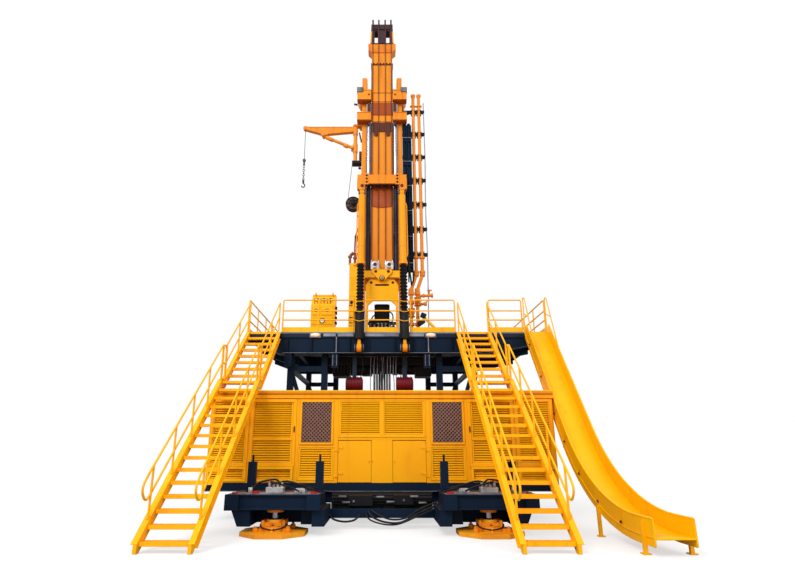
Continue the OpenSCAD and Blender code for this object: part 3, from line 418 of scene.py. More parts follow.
def cut(piece, at, way):
    """Takes off what lies beyond a plane and closes the cut."""
    with editing(piece):
        bpy.ops.mesh.bisect(plane_co=spot(*at), plane_no=way, use_fill=True, clear_outer=True)
    return piece


def block(middle, size, edge, turn=(0, 0, 0)):
    """A cuboid with broken edges."""
    pick()
    bpy.ops.mesh.primitive_cube_add(size=1, location=middle, rotation=turn)
    piece = bpy.context.object
    piece.scale = size
    apply_place(piece)
    if edge:
        break_edges(piece, edge)
    return piece


def plate(low, high, edge=0.005):
    """A block between two corners."""
    low, high = spot(*low), spot(*high)
    return block((low + high) / 2, high - low, edge)


def beam(start, end, across, height, edge=0.004):
    """A straight bar with a rectangular section between two places."""
    start, end = spot(*start), spot(*end)
    way = end - start
    turn = way.to_track_quat("Y", "Z").to_euler()
    return block((start + end) / 2, (across, way.length, height), edge, turn)


def rod(start, end, radius, sides=20, edge=0.004, far_radius=None):
    """A round bar, or a cone where the far end differs."""
    start, end = spot(*start), spot(*end)
    way = end - start
    pick()
    bpy.ops.mesh.primitive_cone_add(
        vertices=sides, radius1=radius, radius2=radius if far_radius is None else far_radius,
        depth=way.length, location=(start + end) / 2,
        rotation=way.to_track_quat("Z", "Y").to_euler())
    piece = bpy.context.object
    apply_place(piece)
    if edge:
        bpy.ops.object.mode_set(mode="EDIT")
        bpy.ops.mesh.select_all(action="DESELECT")
        bpy.ops.object.mode_set(mode="OBJECT")
        for face in piece.data.polygons:
            face.select = len(face.vertices) == sides
        bpy.ops.object.mode_set(mode="EDIT")
        bpy.ops.mesh.select_mode(type="FACE")
        bpy.ops.mesh.bevel(offset=edge, segments=2, affect="EDGES")
        bpy.ops.object.mode_set(mode="OBJECT")
    smooth(piece)
    return piece


def bar(place, *sizes):
    """A rod along one axis, where its place has a start and an end."""
    ends = [c if isinstance(c, tuple) else (c, c) for c in place]
    return rod(*zip(*ends), *sizes)


def ring(middle, way, radius, thick, sides=32):
    """A round bar bent to a ring about an axis."""
    pick()
    bpy.ops.mesh.primitive_torus_add(
        major_radius=radius, minor_radius=thick, major_segments=sides, minor_segments=10,
        location=spot(*middle), rotation=Vector(way).to_track_quat("Z", "Y").to_euler())
    piece = bpy.context.object
    apply_place(piece)
    smooth(piece, 60)
    return piece


def rounded_path(points, bend):
    """The path with each corner turned into a curve."""
    if bend <= 0 or len(points) < 3:
        return points
    made = [points[0]]
    for before, corner, after in zip(points, points[1:], points[2:]):
        reach = min(bend, (corner - before).length * 0.48, (after - corner).length * 0.48)
        first = corner + (before - corner).normalized() * reach
        last = corner + (after - corner).normalized() * reach
        for i in range(6):
            t = i / 5
            made.append(first * (1 - t) ** 2 + corner * 2 * t * (1 - t) + last * t * t)
    made.append(points[-1])
    return made


def tubes(paths, radius, bend=0.0, sides=2):
    """Round tubes along several paths, made one mesh."""
    line = bpy.data.curves.new("tube", "CURVE")
    line.dimensions = "3D"
    line.bevel_depth = radius
    line.bevel_resolution = sides
    line.use_fill_caps = True
    for path in paths:
        points = rounded_path([spot(*p) for p in path], bend)
        spline = line.splines.new("POLY")
        spline.points.add(len(points) - 1)
        for knot, place in zip(spline.points, points):
            knot.co = (*place, 1)
    piece = bpy.data.objects.new("tube", line)
    scene.collection.objects.link(piece)
    pick(piece)
    bpy.ops.object.convert(target="MESH")
    piece = bpy.context.object
    smooth(piece, 50)
    return piece


def spread(piece, moves):
    """The piece and its copies, each moved from where the piece was made."""
    made = []
    for move in moves[1:]:
        copy = copied(piece)
        copy.location = Vector(move)
        made.append(copy)
    piece.location = Vector(moves[0])
    whole = join([piece, *made]) if made else piece
    apply_place(whole)
    return whole


def row(piece, count, step):
    """Equal copies in a straight line."""
    pick(piece)
    line = piece.modifiers.new("row", "ARRAY")
    line.use_relative_offset = False
    line.use_constant_offset = True
    line.constant_offset_displace = step
    line.count = count
    bpy.ops.object.modifier_apply(modifier="row")
    return piece


def mirrored(piece, across="x", about=0.0):
    """The piece and its mirror image across an upright plane of the rig."""
    axis = "xyz".index(across)
    piece = as_one(piece)
    other = copied(piece)
    other.location[axis] = 2 * (ZERO[axis] + about)
    other.scale[axis] = -1
    apply_place(other)
    with editing(other):
        bpy.ops.mesh.normals_make_consistent(inside=False)
    return join([piece, other])


def bolt(at, way, size=0.03):
    """A hexagon head on a washer."""
    at, way = Vector(at), Vector(way).normalized()
    head = rod(at, at + way * size * 0.7, size * 0.55, sides=6, edge=0.1 * size)
    washer = rod(at, at + way * size * 0.16, size * 0.85, sides=12, edge=0)
    return join([head, washer])


def fit(made, name, finish, body="rig"):
    """Joins what was made, names and paints it, and lets it ride on a body."""
    whole = as_one(made)
    whole.name = name
    whole.data.name = name
    whole.data.materials.clear()
    whole.data.materials.append(finish)
    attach(whole, body)
    return whole


UPWARDS, FRONTWARDS = Vector((0, 0, 1)), Vector((0, -1, 0))


# Guard rails of the drill floor

FLOOR = 4.9
FRONT_RAIL, REAR_RAIL = 2.27, 7.09
LEFT_RAIL, RIGHT_RAIL = -3.96, 4.84
RAIL_R = 0.021


def rail_panel(start, end, bays):
    """Paths of one panel: a hoop of top rail and end posts, two rails and inner posts."""
    (x0, y0), (x1, y1) = start, end
    top = FLOOR + 0.98
    paths = [[(x0, y0, FLOOR), (x0, y0, top), (x1, y1, top), (x1, y1, FLOOR)]]
    for height in (FLOOR + 0.65, FLOOR + 0.37):
        paths.append([(x0, y0, height), (x1, y1, height)])
    for i in range(1, bays):
        x, y = x0 + (x1 - x0) * i / bays, y0 + (y1 - y0) * i / bays
        paths.append([(x, y, FLOOR), (x, y, top)])
    return paths


def toe_board(start, end):
    (x0, y0), (x1, y1) = start, end
    return beam((x0, y0, FLOOR + 0.075), (x1, y1, FLOOR + 0.075), 0.012, 0.15, 0.003)


def guard_rail(name, node, runs):
    paths, boards = [], []
    for start, end, bays in runs:
        paths += rail_panel(start, end, bays)
        boards.append(toe_board(start, end))
    whole = fit([tubes(paths, RAIL_R, 0.06), *boards], name, stair_yellow)
    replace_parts(whole, node)


guard_rail("guard_rail_front", "front_railing", [
    ((-2.945, FRONT_RAIL), (-0.85, FRONT_RAIL), 2),
    ((-0.47, FRONT_RAIL), (0.47, FRONT_RAIL), 1),
    ((0.85, FRONT_RAIL), (2.165, FRONT_RAIL), 1),
    ((3.175, FRONT_RAIL), (4.155, FRONT_RAIL), 1),
])
guard_rail("guard_rail_sides", "side_railings", [
    ((LEFT_RAIL, FRONT_RAIL), (LEFT_RAIL, REAR_RAIL - 0.06), 4),
    ((RIGHT_RAIL, FRONT_RAIL), (RIGHT_RAIL, REAR_RAIL - 0.06), 4),
])
guard_rail("guard_rail_rear", "rear_railing", [
    ((LEFT_RAIL, REAR_RAIL), (RIGHT_RAIL, REAR_RAIL), 8),
])


# Stairs

RISE, GOING = 0.215227, 0.271
FIRST_RISE = 0.165
DECK_EDGE = 2.23
LANDING_BACK = DECK_EDGE - 7 * GOING
LANDING_NOSE = LANDING_BACK - 0.51
FOOT_NOSE = LANDING_NOSE - 14 * GOING
LANDING = FIRST_RISE + 14 * RISE
PITCH_UP = RISE / GOING
HAND = 0.9


def lower_nose(y):
    return FIRST_RISE + PITCH_UP * (y - FOOT_NOSE)


def upper_nose(y):
    return LANDING + RISE + PITCH_UP * (y - LANDING_BACK)


def hand_paths(x):
    """Paths of one handrail: lower loop with its bow, landing panel and upper flight."""
    y0, y1, y2, y3 = FOOT_NOSE + 0.15, LANDING_NOSE - 0.03, LANDING_BACK - 0.2, 2.2
    low, bow = lower_nose(y0), 0.225
    paths = [[
        (x, y1, lower_nose(y1) + HAND), (x, y0, low + HAND), (x, y0 - bow, low + 0.675),
        (x, y0, low + HAND / 2), (x, y1, lower_nose(y1) + HAND / 2),
    ]]
    for i in range(5):
        y = y0 + 0.18 + i * (y1 - y0 - 0.18) / 4
        paths.append([(x, y, lower_nose(y) + 0.04), (x, y, lower_nose(y) + HAND)])
    paths.append([
        (x, LANDING_NOSE + 0.02, LANDING), (x, LANDING_NOSE + 0.02, LANDING + HAND),
        (x, y2 - 0.06, LANDING + HAND), (x, y2 - 0.06, LANDING),
    ])
    paths.append([(x, LANDING_NOSE + 0.02, LANDING + 0.45), (x, y2 - 0.06, LANDING + 0.45)])
    for part in (0.5, 1.0):
        paths.append([(x, y2, upper_nose(y2) + HAND * part), (x, y3, upper_nose(y3) + HAND * part)])
    for share in (0.0, 0.5, 1.0):
        y = y2 + (y3 - y2) * share
        paths.append([(x, y, upper_nose(y) + 0.04), (x, y, upper_nose(y) + HAND)])
    return paths


def channel_edges(x, out):
    """Flanges that make a channel of a stringer."""
    heel, head = FOOT_NOSE - 0.07, 2.215
    made = []
    for drop in (-0.035, 0.185):
        start = heel + (0.18 if drop > 0 else 0)
        made.append(beam(
            (x, start, max(0.01, lower_nose(start) - drop)), (x, LANDING_NOSE, LANDING - drop),
            0.075, 0.014, 0.003))
        made.append(beam(
            (x, LANDING_BACK - GOING, LANDING - drop), (x, head, upper_nose(head) - drop - 0.02),
            0.075, 0.014, 0.003))
    return spread(join(made), [(out * 0.035, 0, 0)])


def tread_lips(x):
    """Folded front edges and raised grip strips of the treads."""
    half = 0.4
    lip = plate((x - half, -0.004, -0.062), (x + half, 0.006, 0.002), 0.002)
    grip = plate((x - half + 0.03, 0.02, 0), (x + half - 0.03, 0.028, 0.005), 0)
    step = join([lip, row(grip, 5, (0, 0.045, 0))])
    moves = [(0, FOOT_NOSE + i * GOING, FIRST_RISE + i * RISE) for i in range(14)]
    moves.append((0, LANDING_NOSE, LANDING))
    moves += [(0, LANDING_BACK + i * GOING, LANDING + (i + 1) * RISE) for i in range(8)]
    return spread(step, moves)


for side, middle in (("left", -3.47), ("right", 2.69)):
    left, right = middle - 0.435, middle + 0.435
    rails = tubes(hand_paths(left) + hand_paths(right), RAIL_R, 0.16)
    feet = [plate((x - 0.05, LANDING_NOSE - 0.01, LANDING + 0.041),
                  (x + 0.05, LANDING_BACK - 0.24, LANDING + 0.05)) for x in (left, right)]
    whole = fit([rails, *feet], f"{side}_stair_rails", stair_yellow)
    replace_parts(whole, f"{side}_handrails")
    flanges = [channel_edges(left, -1), channel_edges(right, 1)]
    fit(flanges, f"{side}_stair_flanges", stair_yellow)
    fit(tread_lips(middle), f"{side}_tread_lips", stair_yellow)


# Escape slide

SLIDE_X, SLIDE_HALF = 4.53, 0.335
SLOPE, BEND_R, RUN_Z, SLIDE_END = math.radians(50), 4.5, 0.27, -4.3
BEND_TOP = BEND_R * (1 - math.cos(SLOPE))
RUN_Y = DECK_EDGE - BEND_R * math.sin(SLOPE) - (FLOOR - RUN_Z - BEND_TOP) / math.tan(SLOPE)


def slide_line(lift, steps=14):
    """Points of the slide's bed, moved square to itself."""
    points = [(2.21 - lift * math.sin(SLOPE), FLOOR - 0.02 + lift * math.cos(SLOPE))]
    for i in range(steps, -1, -1):
        a = SLOPE * i / steps
        r = BEND_R - lift
        points.append((RUN_Y + r * math.sin(a), RUN_Z + BEND_R - r * math.cos(a)))
    points.append((SLIDE_END + 0.03, RUN_Z + lift))
    return points


def slide_edges(lift, out, radius):
    """A tube along each side of the slide."""
    return tubes([[(SLIDE_X + s * (SLIDE_HALF + out), y, z) for y, z in slide_line(lift)]
                  for s in (-1, 1)], radius)


slide_parts = [
    slide_edges(0.278, -0.012, 0.02),
    slide_edges(-0.125, -0.012, 0.014),
    slide_edges(0.0, 0.004, 0.01),
]
slide_bolts = []
top_y, top_z = 2.2, FLOOR
straight_y, straight_z = RUN_Y + BEND_R * math.sin(SLOPE), RUN_Z + BEND_TOP
for s in (-1, 1):
    x = SLIDE_X + s * (SLIDE_HALF + 0.006)
    for i in range(7):
        if i < 3:
            t = (i + 0.5) / 3
            y, z = top_y + (straight_y - top_y) * t, top_z + (straight_z - top_z) * t
            a = SLOPE
        else:
            a = SLOPE * (6.6 - i) / 3.8
            y, z = RUN_Y + BEND_R * math.sin(a), RUN_Z + BEND_R * (1 - math.cos(a))
        up = Vector((0, -math.sin(a), math.cos(a)))
        at = Vector((x, y, z))
        slide_parts.append(beam(at - up * 0.12, at + up * 0.27, 0.012, 0.035, 0.002))
        slide_bolts.append(bolt(Vector((x + s * 0.006, y, z)) + up * 0.06, (s, 0, 0), 0.034))
hoops = []
for s in (-1, 1):
    x = SLIDE_X + s * (SLIDE_HALF - 0.012)
    y1, z1 = top_y - 0.85, FLOOR - 0.85 * math.tan(SLOPE) + 0.42
    hoops.append([
        (x, 2.21, FLOOR + 0.05), (x, 2.21, FLOOR + 1.02), (x, 2.05, FLOOR + 1.0), (x, y1, z1)])
    hoops.append([(x, 2.21, FLOOR + 0.55), (x, 1.78, FLOOR + 0.35)])
slide_parts.append(tubes(hoops, 0.018, 0.16))
end_lip = [(SLIDE_X + s * 0.31, SLIDE_END + 0.02, RUN_Z - 0.012) for s in (-1, 1)]
slide_parts.append(tubes([end_lip], 0.018))
fit(slide_parts, "slide_rims", slide_yellow)
fit(slide_bolts, "slide_bolts", crown_brown)


# Power house front


def trim(x0, x1, z0, z1, width, proud):
    """A flat frame laid on the house front."""
    back = 0.002
    return join([
        plate((x0, -proud, z0), (x1, back, z0 + width), 0.004),
        plate((x0, -proud, z1 - width), (x1, back, z1), 0.004),
        plate((x0, -proud, z0 + width), (x0 + width, back, z1 - width), 0.004),
        plate((x1 - width, -proud, z0 + width), (x1, back, z1 - width), 0.004),
    ])


def crossed_wires(x0, x1, z0, z1, y, pitch):
    """Slanting wires both ways across a rectangle."""
    paths = []
    wide, high = x1 - x0, z1 - z0
    count = int((wide + high) / pitch)
    for i in range(1, count):
        reach = i * pitch
        start = (min(reach, wide), max(0, reach - wide))
        end = (max(0, reach - high), min(reach, high))
        paths.append([(x0 + a, y, z0 + b) for a, b in (start, end)])
        paths.append([(x1 - a, y - 0.004, z0 + b) for a, b in (start, end)])
    return paths


HINGE_LIFTS = [(0, 0, 0), (0, 0, 0.62), (0, 0, 1.24)]
fit([
    mirrored([
        trim(1.165, 1.975, 1.695, 2.735, 0.05, 0.032),
        trim(1.13, 2.0, 0.89, 1.66, 0.036, 0.012),
        trim(2.06, 3.16, 1.2, 2.755, 0.075, 0.026),
        plate((2.135, -0.02, 1.79), (3.085, 0.002, 1.85), 0.004),
        trim(3.19, 4.1, 1.2, 2.755, 0.06, 0.02),
        spread(bar((3.172, -0.014, (1.3, 1.42)), 0.014, 12), HINGE_LIFTS),
    ]),
    trim(-1.05, 1.05, 1.86, 2.755, 0.04, 0.014),
    plate((-0.032, -0.014, 1.9), (0.032, 0.002, 2.715), 0.004),
], "louvre_frames", house_yellow)
fit(mirrored([
    trim(2.09, 2.98, 0.87, 1.195, 0.055, 0.06),
    trim(3.19, 4.1, 0.87, 1.195, 0.05, 0.05),
]), "vent_covers", slide_yellow)

fit([
    plate((-4.155, -0.044, 2.782), (4.155, -0.028, 2.804), 0.004),
    plate((-4.155, -0.046, 2.93), (4.155, -0.028, 2.968), 0.006),
    row(plate((-3.75, -0.034, 2.81), (-3.742, -0.029, 2.925), 0), 6, (1.5, 0, 0)),
], "roof_trim", stair_yellow)
# A dark orange stripe paints the shadow under the roof trim.
fit(plate((-4.155, -0.036, 2.866), (4.155, -0.028, 2.892), 0.003), "roof_painted_shadow", painted_shade_orange)

WINDOW = 1.215, 1.925, 1.745, 2.685
core = plate((WINDOW[0], -0.02, WINDOW[2]), (WINDOW[1], -0.011, WINDOW[3]), 0.002)
fit(mirrored(core), "radiator_cores", core_dark)
wires = tubes(crossed_wires(*WINDOW, -0.022, 0.088), 0.011, 0, 1)
fit(mirrored(wires), "window_wires", mesh_brown)

fit(mirrored([
    plate((2.085, -0.05, 1.98), (2.11, -0.026, 2.12), 0.006),
    bar((2.0975, (-0.03, -0.075), 2.05), 0.012, 12),
]), "louvre_handles", box_black)


def latch(x, z):
    """A keeper plate with its knob on the house front."""
    return [
        plate((x - 0.011, -0.01, z - 0.03), (x + 0.011, 0.002, z + 0.03), 0.003),
        bar((x, (-0.008, -0.026), z), 0.009, 12),
    ]


fit(latch(-0.227, 1.33), "panel_latch", barrel_yellow)
for side, body in ((-1, "left_door"), (1, "right_door")):
    fit(latch(side * 0.3, 1.32), f"{body}_latch", barrel_yellow, body)


# Feet and jacks

FOOT_TOP, FOOT_SHEET = 0.75, 0.756
BASE_MID = 2.3
JACK_X, FRONT_JACK_Y, REAR_JACK_Y = 2.1, -1.9, 6.5
PAD_TOP = 0.078


def fore_and_aft(piece):
    """The piece of the right front foot on all four feet."""
    return mirrored(mirrored(piece), "y", BASE_MID)


fit(fore_and_aft([
    *[plate((x0, -2.275, 0.464), (x1, -2.226, FOOT_SHEET), 0.006)
      for x0, x1 in ((1.185, 1.45), (2.76, 3.026))],
    *[plate((x, -1.51, FOOT_TOP + 0.001), (x + 0.21, -1.3, FOOT_TOP + 0.02), 0.004)
      for x in (1.2, 2.615)],
]), "foot_end_boxes", deep_navy)
fit(fore_and_aft(plate((1.3, -1.86, 0.173), (1.6, -1.82, 0.46))),
    "foot_shade_plates", deep_navy)
fit(mirrored(plate((1.23, -2.2, FOOT_TOP + 0.0005), (2.98, -1.56, FOOT_SHEET), 0.002)),
    "foot_top_sheets", edge_grey)

fit(mirrored([
    plate((1.95, -2.02, FOOT_SHEET), (2.3, -1.8, 0.87), 0.012),
    plate((1.52, -1.95, FOOT_SHEET), (1.74, -1.75, 0.84), 0.01),
    row(bar((2.0, -1.91, (0.86, 0.95)), 0.03, 14), 4, (0.08, 0, 0)),
    bar((1.63, (-1.97, -2.06), 0.8), 0.035, 14),
    bar((2.62, -1.9, (FOOT_SHEET, 0.86)), 0.045, 16),
]), "foot_valves", clamp_silver)
fit(mirrored(tubes([
    [(2.02, -1.95, 0.93), (2.08, -2.08, 1.03), (2.4, -2.08, 0.98), (2.62, -1.75, 0.82),
     (2.7, -1.44, 0.9)],
    [(2.16, -1.95, 0.93), (2.2, -2.12, 0.98), (1.85, -2.12, 0.9), (1.63, -2.05, 0.8)],
    [(2.1, -1.85, 0.93), (1.95, -1.7, 0.98), (1.5, -1.7, 0.86), (1.32, -1.55, 0.82)],
    [(1.6, -1.85, 0.82), (1.42, -2.05, 0.86), (1.28, -1.9, 0.79), (1.2, -1.6, 0.72)],
], 0.018, 0.12)), "foot_hoses", hose_black)
fit(mirrored([
    bar((2.48, -2.05, (FOOT_SHEET, 0.8)), 0.07, 18),
    bar((1.33, -2.1, (FOOT_SHEET, 0.79)), 0.07, 18),
    bar((2.88, -2.08, (FOOT_SHEET, 0.785)), 0.06, 18),
    bar((2.2, -1.91, (0.95, 0.985)), 0.04, 14),
]), "foot_caps", valve_red)


def dress_jack(body, x, y):
    """Lugs, cup plates, wiper and hose of one jack."""
    lugs = []
    for quarter in range(4):
        turn = math.radians(45 + 90 * quarter)
        out = Vector((math.cos(turn), math.sin(turn), 0))
        foot = Vector((x, y, PAD_TOP))
        corner = foot + out * 0.44
        lugs.append(beam(foot + out * 0.22, corner + UPWARDS * 0.004, 0.07, 0.11, 0.012))
        lugs.append(rod(corner, corner + UPWARDS * 0.07, 0.05, 16))
        lugs.append(bolt(corner + UPWARDS * 0.07, UPWARDS, 0.05))
    lugs.append(ring((x, y, 0.17), UPWARDS, 0.23, 0.012))
    for s in (-1, 1):
        ear, front = x + s * 0.2, y + s * 0.18
        lugs.append(plate((ear - 0.03, y - 0.19, 0.079), (ear + 0.03, y + 0.19, 0.272), 0.01))
        lugs.append(plate(
            (x - 0.17, front - 0.012, 0.079), (x + 0.17, front + 0.012, 0.235), 0.006))
    fit(lugs, f"{body}_lugs", pad_orange, body)
    fit([
        ring((x, y, 0.277), UPWARDS, 0.1, 0.022),
        *[bar((x, (y + s * 0.19, y + s * 0.2), 0.17), 0.03, 16) for s in (-1, 1)],
        tubes([[(x - 0.25, y - 0.1, 0.2), (x - 0.22, y - 0.26, 0.15), (x, y - 0.3, 0.105),
                (x + 0.22, y - 0.26, 0.15), (x + 0.25, y - 0.1, 0.2)]], 0.015, 0.1),
    ], f"{body}_wiper", hose_black, body)


for end, jack_y in (("front", FRONT_JACK_Y), ("rear", REAR_JACK_Y)):
    dress_jack(f"{end}_left_jack", -JACK_X, jack_y)
    dress_jack(f"{end}_right_jack", JACK_X, jack_y)

# Pipes and a tank under the house
fit([
    tubes([[(-1.1, y, z), (1.1, y, z)]
           for y, z in ((-0.62, 0.56), (-0.5, 0.48), (-0.38, 0.6), (-0.3, 0.42))], 0.038),
    plate((-0.75, -0.72, 0.4), (-0.2, -0.3, 0.62), 0.012),
    plate((0.25, -0.7, 0.42), (0.7, -0.25, 0.63), 0.012),
], "underside_pipes", box_black)
fit([
    spread(bar(((0, 0.17), -0.73, 0.57), 0.022, 16), [
        (-0.95, 0, 0.03), (-0.87, 0, -0.09), (-0.12, 0, 0.02), (0.1, 0, -0.08), (0.62, 0, 0.03),
        (0.8, 0, -0.1)]),
    bar((-0.62, (-0.72, -0.75), 0.5), 0.025, 14),
    bar((0.48, (-0.7, -0.73), 0.52), 0.025, 14),
], "underside_unions", cover_grey)
# A grey strip paints the highlight along the chassis's lower edge.
fit(plate((-4.14, -0.012, 0.652), (4.14, 0.002, 0.664), 0.003), "chassis_edge_highlight", edge_grey)
fit([
    plate((-1.15, -0.25, 0.24), (1.15, -0.2, 0.66), 0.01),
    row(plate((-1.0, -0.3, 0.3), (-0.7, -0.25, 0.6), 0.02), 6, (0.34, 0, 0)),
], "underside_tank", box_black)


def hose(name, radius, *points):
    """A hanging hose through the given points."""
    line = [Vector(p) for p in points]
    path = []
    for a, b, c, d in zip([line[0]] + line, line, line[1:], line[2:] + [line[-1]]):
        for i in range(8):
            t = i / 8
            path.append(0.5 * (2 * b + (c - a) * t + (2 * a - 5 * b + 4 * c - d) * t ** 2
                               + (3 * b - a - 3 * c + d) * t ** 3))
    path.append(line[-1])
    piece = fit(tubes([path], radius, 0, 3), name, hose_black)


hose("hose_loop_left", 0.02, (-1.12, -1.12, 0.3), (-1.02, -1.14, 0.19), (-0.8, -1.14, 0.14),
     (-0.58, -1.13, 0.17), (-0.47, -1.06, 0.27))
hose("hose_loop_middle", 0.02, (-0.3, -1.06, 0.34), (-0.18, -1.15, 0.22), (0.08, -1.16, 0.13),
     (0.4, -1.16, 0.13), (0.76, -1.16, 0.3), (1.14, -1.14, 0.46))
hose("hose_loop_inner", 0.018, (-0.22, -1.06, 0.35), (-0.05, -1.13, 0.26), (0.2, -1.12, 0.18),
     (0.5, -1.12, 0.21), (0.8, -1.11, 0.38), (1.2, -1.09, 0.53))
hose("hose_loop_outer", 0.016, (-0.36, -1.06, 0.33), (-0.26, -1.2, 0.19), (0.02, -1.21, 0.1),
     (0.34, -1.21, 0.1), (0.72, -1.2, 0.24), (1.14, -1.18, 0.41))


# Drill floor front

FASCIA_Y, GIRDER_Z, EDGE_Z = 2.26, 4.26, 4.75
HANGER_XS = -1.37, 1.31

steelwork = [
    plate((-3.0, FASCIA_Y - 0.1, GIRDER_Z), (3.0, FASCIA_Y, GIRDER_Z + 0.028), 0.004),
    plate((-3.9, FASCIA_Y - 0.028, EDGE_Z - 0.03), (4.8, FASCIA_Y, EDGE_Z), 0.004),
]
for x in (-2.75, -2.05, -1.37, -0.94, -0.38, 0.38, 0.94, 1.31, 2.05, 2.75):
    steelwork.append(plate(
        (x - 0.007, FASCIA_Y - 0.085, GIRDER_Z + 0.028),
        (x + 0.007, FASCIA_Y, EDGE_Z - 0.03), 0.002))
for x in (-2.72, *HANGER_XS, 2.72):
    steelwork.append(plate(
        (x - 0.1, FASCIA_Y - 0.06, 3.86), (x + 0.1, FASCIA_Y + 0.14, GIRDER_Z), 0.01))
    steelwork += [bolt((x, FASCIA_Y - 0.06, z), FRONTWARDS, 0.05) for z in (4.12, 3.98)]
fit(steelwork, "fascia_stiffeners", deep_navy)

fit([
    *[tubes([[(x, FASCIA_Y - 0.1, 4.28), (x, FASCIA_Y - 0.1, 4.74)]], 0.018)
      for x in (-1.33, 1.35)],
    *[plate((x0, 2.218, 4.765), (x1, 2.232, 4.85), 0.003)
      for x0, x1 in ((-1.72, -1.36), (-1.3, -0.84), (-0.5, 0.5), (0.76, 1.24))],
    plate((-2.9, FASCIA_Y - 0.106, GIRDER_Z + 0.004),
          (2.9, FASCIA_Y - 0.098, GIRDER_Z + 0.016), 0.002),
    *[plate((x + s - 0.007, FASCIA_Y - 0.068, 3.9), (x + s + 0.007, FASCIA_Y - 0.058, 4.22), 0.002)
      for x in HANGER_XS for s in (-0.055, 0.055)],
], "edge_plates", edge_grey)

lamps, bezels = [], []
for x in (-1.96, 1.43):
    pick()
    bpy.ops.mesh.primitive_uv_sphere_add(
        segments=24, ring_count=12, radius=1, location=spot(x, 2.2, 4.8))
    lens = bpy.context.object
    lens.scale = (0.14, 0.05, 0.065)
    apply_place(lens)
    smooth(cut(lens, (x, 2.215, 4.8), (0, 1, 0)), 60)
    lamps.append(lens)
    bezels.append(plate((x - 0.16, 2.208, 4.725), (x + 0.16, 2.231, 4.875), 0.01))
fit(lamps, "edge_lamps", lamp_pale)
fit(bezels, "lamp_bezels", edge_grey)

# Machinery and cables seen between the legs
fit([
    plate((-1.5, 3.1, 3.72), (-0.98, 3.7, 4.25), 0.02),
    plate((1.02, 3.1, 3.72), (1.5, 3.7, 4.25), 0.02),
    plate((-0.62, 3.2, 3.78), (-0.3, 3.7, 4.26), 0.02),
    plate((0.32, 3.2, 3.82), (0.5, 3.7, 4.26), 0.02),
    plate((-1.6, 2.95, 4.02), (1.6, 3.05, 4.26), 0.01),
    bar(((-0.95, -0.5), 3.2, 3.9), 0.16, 24),
    bar(((0.5, 1.0), 3.2, 3.92), 0.15, 24),
    row(bar((-1.44, 3.0, (3.8, 4.1)), 0.05, 14), 5, (0.1, 0, 0)),
], "underfloor_winches", box_black)
cables = []
for i in range(9):
    x = -0.34 + i * 0.095 + (0.02 if i % 2 else 0)
    sway = 0.03 * math.sin(i * 1.9)
    cables.append([
        (x, 2.68, 2.98), (x + sway, 2.66, 3.4), (x - sway, 2.68, 3.9), (x + 0.01, 2.7, 4.3)])
fit(tubes(cables, 0.011, 0.2), "cable_runs", edge_grey)
fit(tubes([
    [(-0.66, 2.62, 3.5), (-0.55, 2.56, 3.9), (-0.6, 2.5, 4.26)],
    [(0.52, 2.62, 3.5), (0.62, 2.54, 3.95), (0.64, 2.16, 4.3)],
    [(0.72, 2.6, 3.55), (0.74, 2.5, 3.95), (0.68, 2.18, 4.3)],
    [(-0.15, 2.66, 3.9), (-0.15, 2.62, 4.12), (-0.02, 2.62, 4.12), (-0.02, 2.66, 3.8)],
], 0.014, 0.1), "underfloor_hoses", hose_black)
HOIST_XS, HOIST_Y, HOIST_Z = (-0.81, 0.66), 2.6, 3.4
fit([
    *[bar(((x + s * 0.25, x + s * 0.2), HOIST_Y, HOIST_Z), 0.17, 32, 0.01)
      for x in HOIST_XS for s in (-1, 1)],
    *[bar(((x - 0.2, x + 0.2), HOIST_Y, HOIST_Z), 0.13, 28, 0.006) for x in HOIST_XS],
    *[row(ring((x - 0.15, HOIST_Y, HOIST_Z), (1, 0, 0), 0.13, 0.018, 28), 7, (0.05, 0, 0))
      for x in HOIST_XS],
], "hoist_frames", hoist_crimson)


# Mast

ROPE_XS, ROPE_Y = (-0.335, -0.118, 0.118, 0.335), 3.045
SIDE_X, SIDE_FRONT, BEAM_FRONT = 0.625, 3.15, 2.91
HEAD_LOW, HEAD_LOW_H = 12.55, 0.3
HEAD_TOP, HEAD_TOP_H = 13.37, 0.4

# Flanges of the centre column, with painted shade under them and on the column's sides, and plates
# of painted shade below and between the beams
fit([
    plate((-0.4, 3.083, 15.008), (0.4, 3.44, 15.052), 0.005),
    plate((-0.38, 3.09, 13.785), (0.38, 3.44, 13.8), 0.003),
], "column_flanges", mast_orange)
fit([
    spread(bolt((-0.29, 3.083, 15.03), FRONTWARDS),
           [(x, 0, 0) for x in (0, 0.116, 0.233, 0.35, 0.464, 0.58)]),
    # Dark strips under the flanges are painted shade.
    *[plate((x - 0.1, 3.088, 14.955), (x + 0.1, 3.105, 15.005), 0.004) for x in (-0.24, 0, 0.24)],
    plate((-0.37, 3.09, 13.772), (0.37, 3.105, 13.785), 0.002),
], "column_bolts_and_shade", crown_brown)
# Dark plates on the column's sides paint the shade in the gaps beside the rods.
fit(mirrored([
    plate((0.362, 3.08, z0), (0.383, 3.4, z1), 0.004)
    for z0, z1 in ((10.42, 12.53), (12.88, 13.35), (13.8, 15.0), (7.4, 10.05))
]), "column_side_shade", crown_brown)
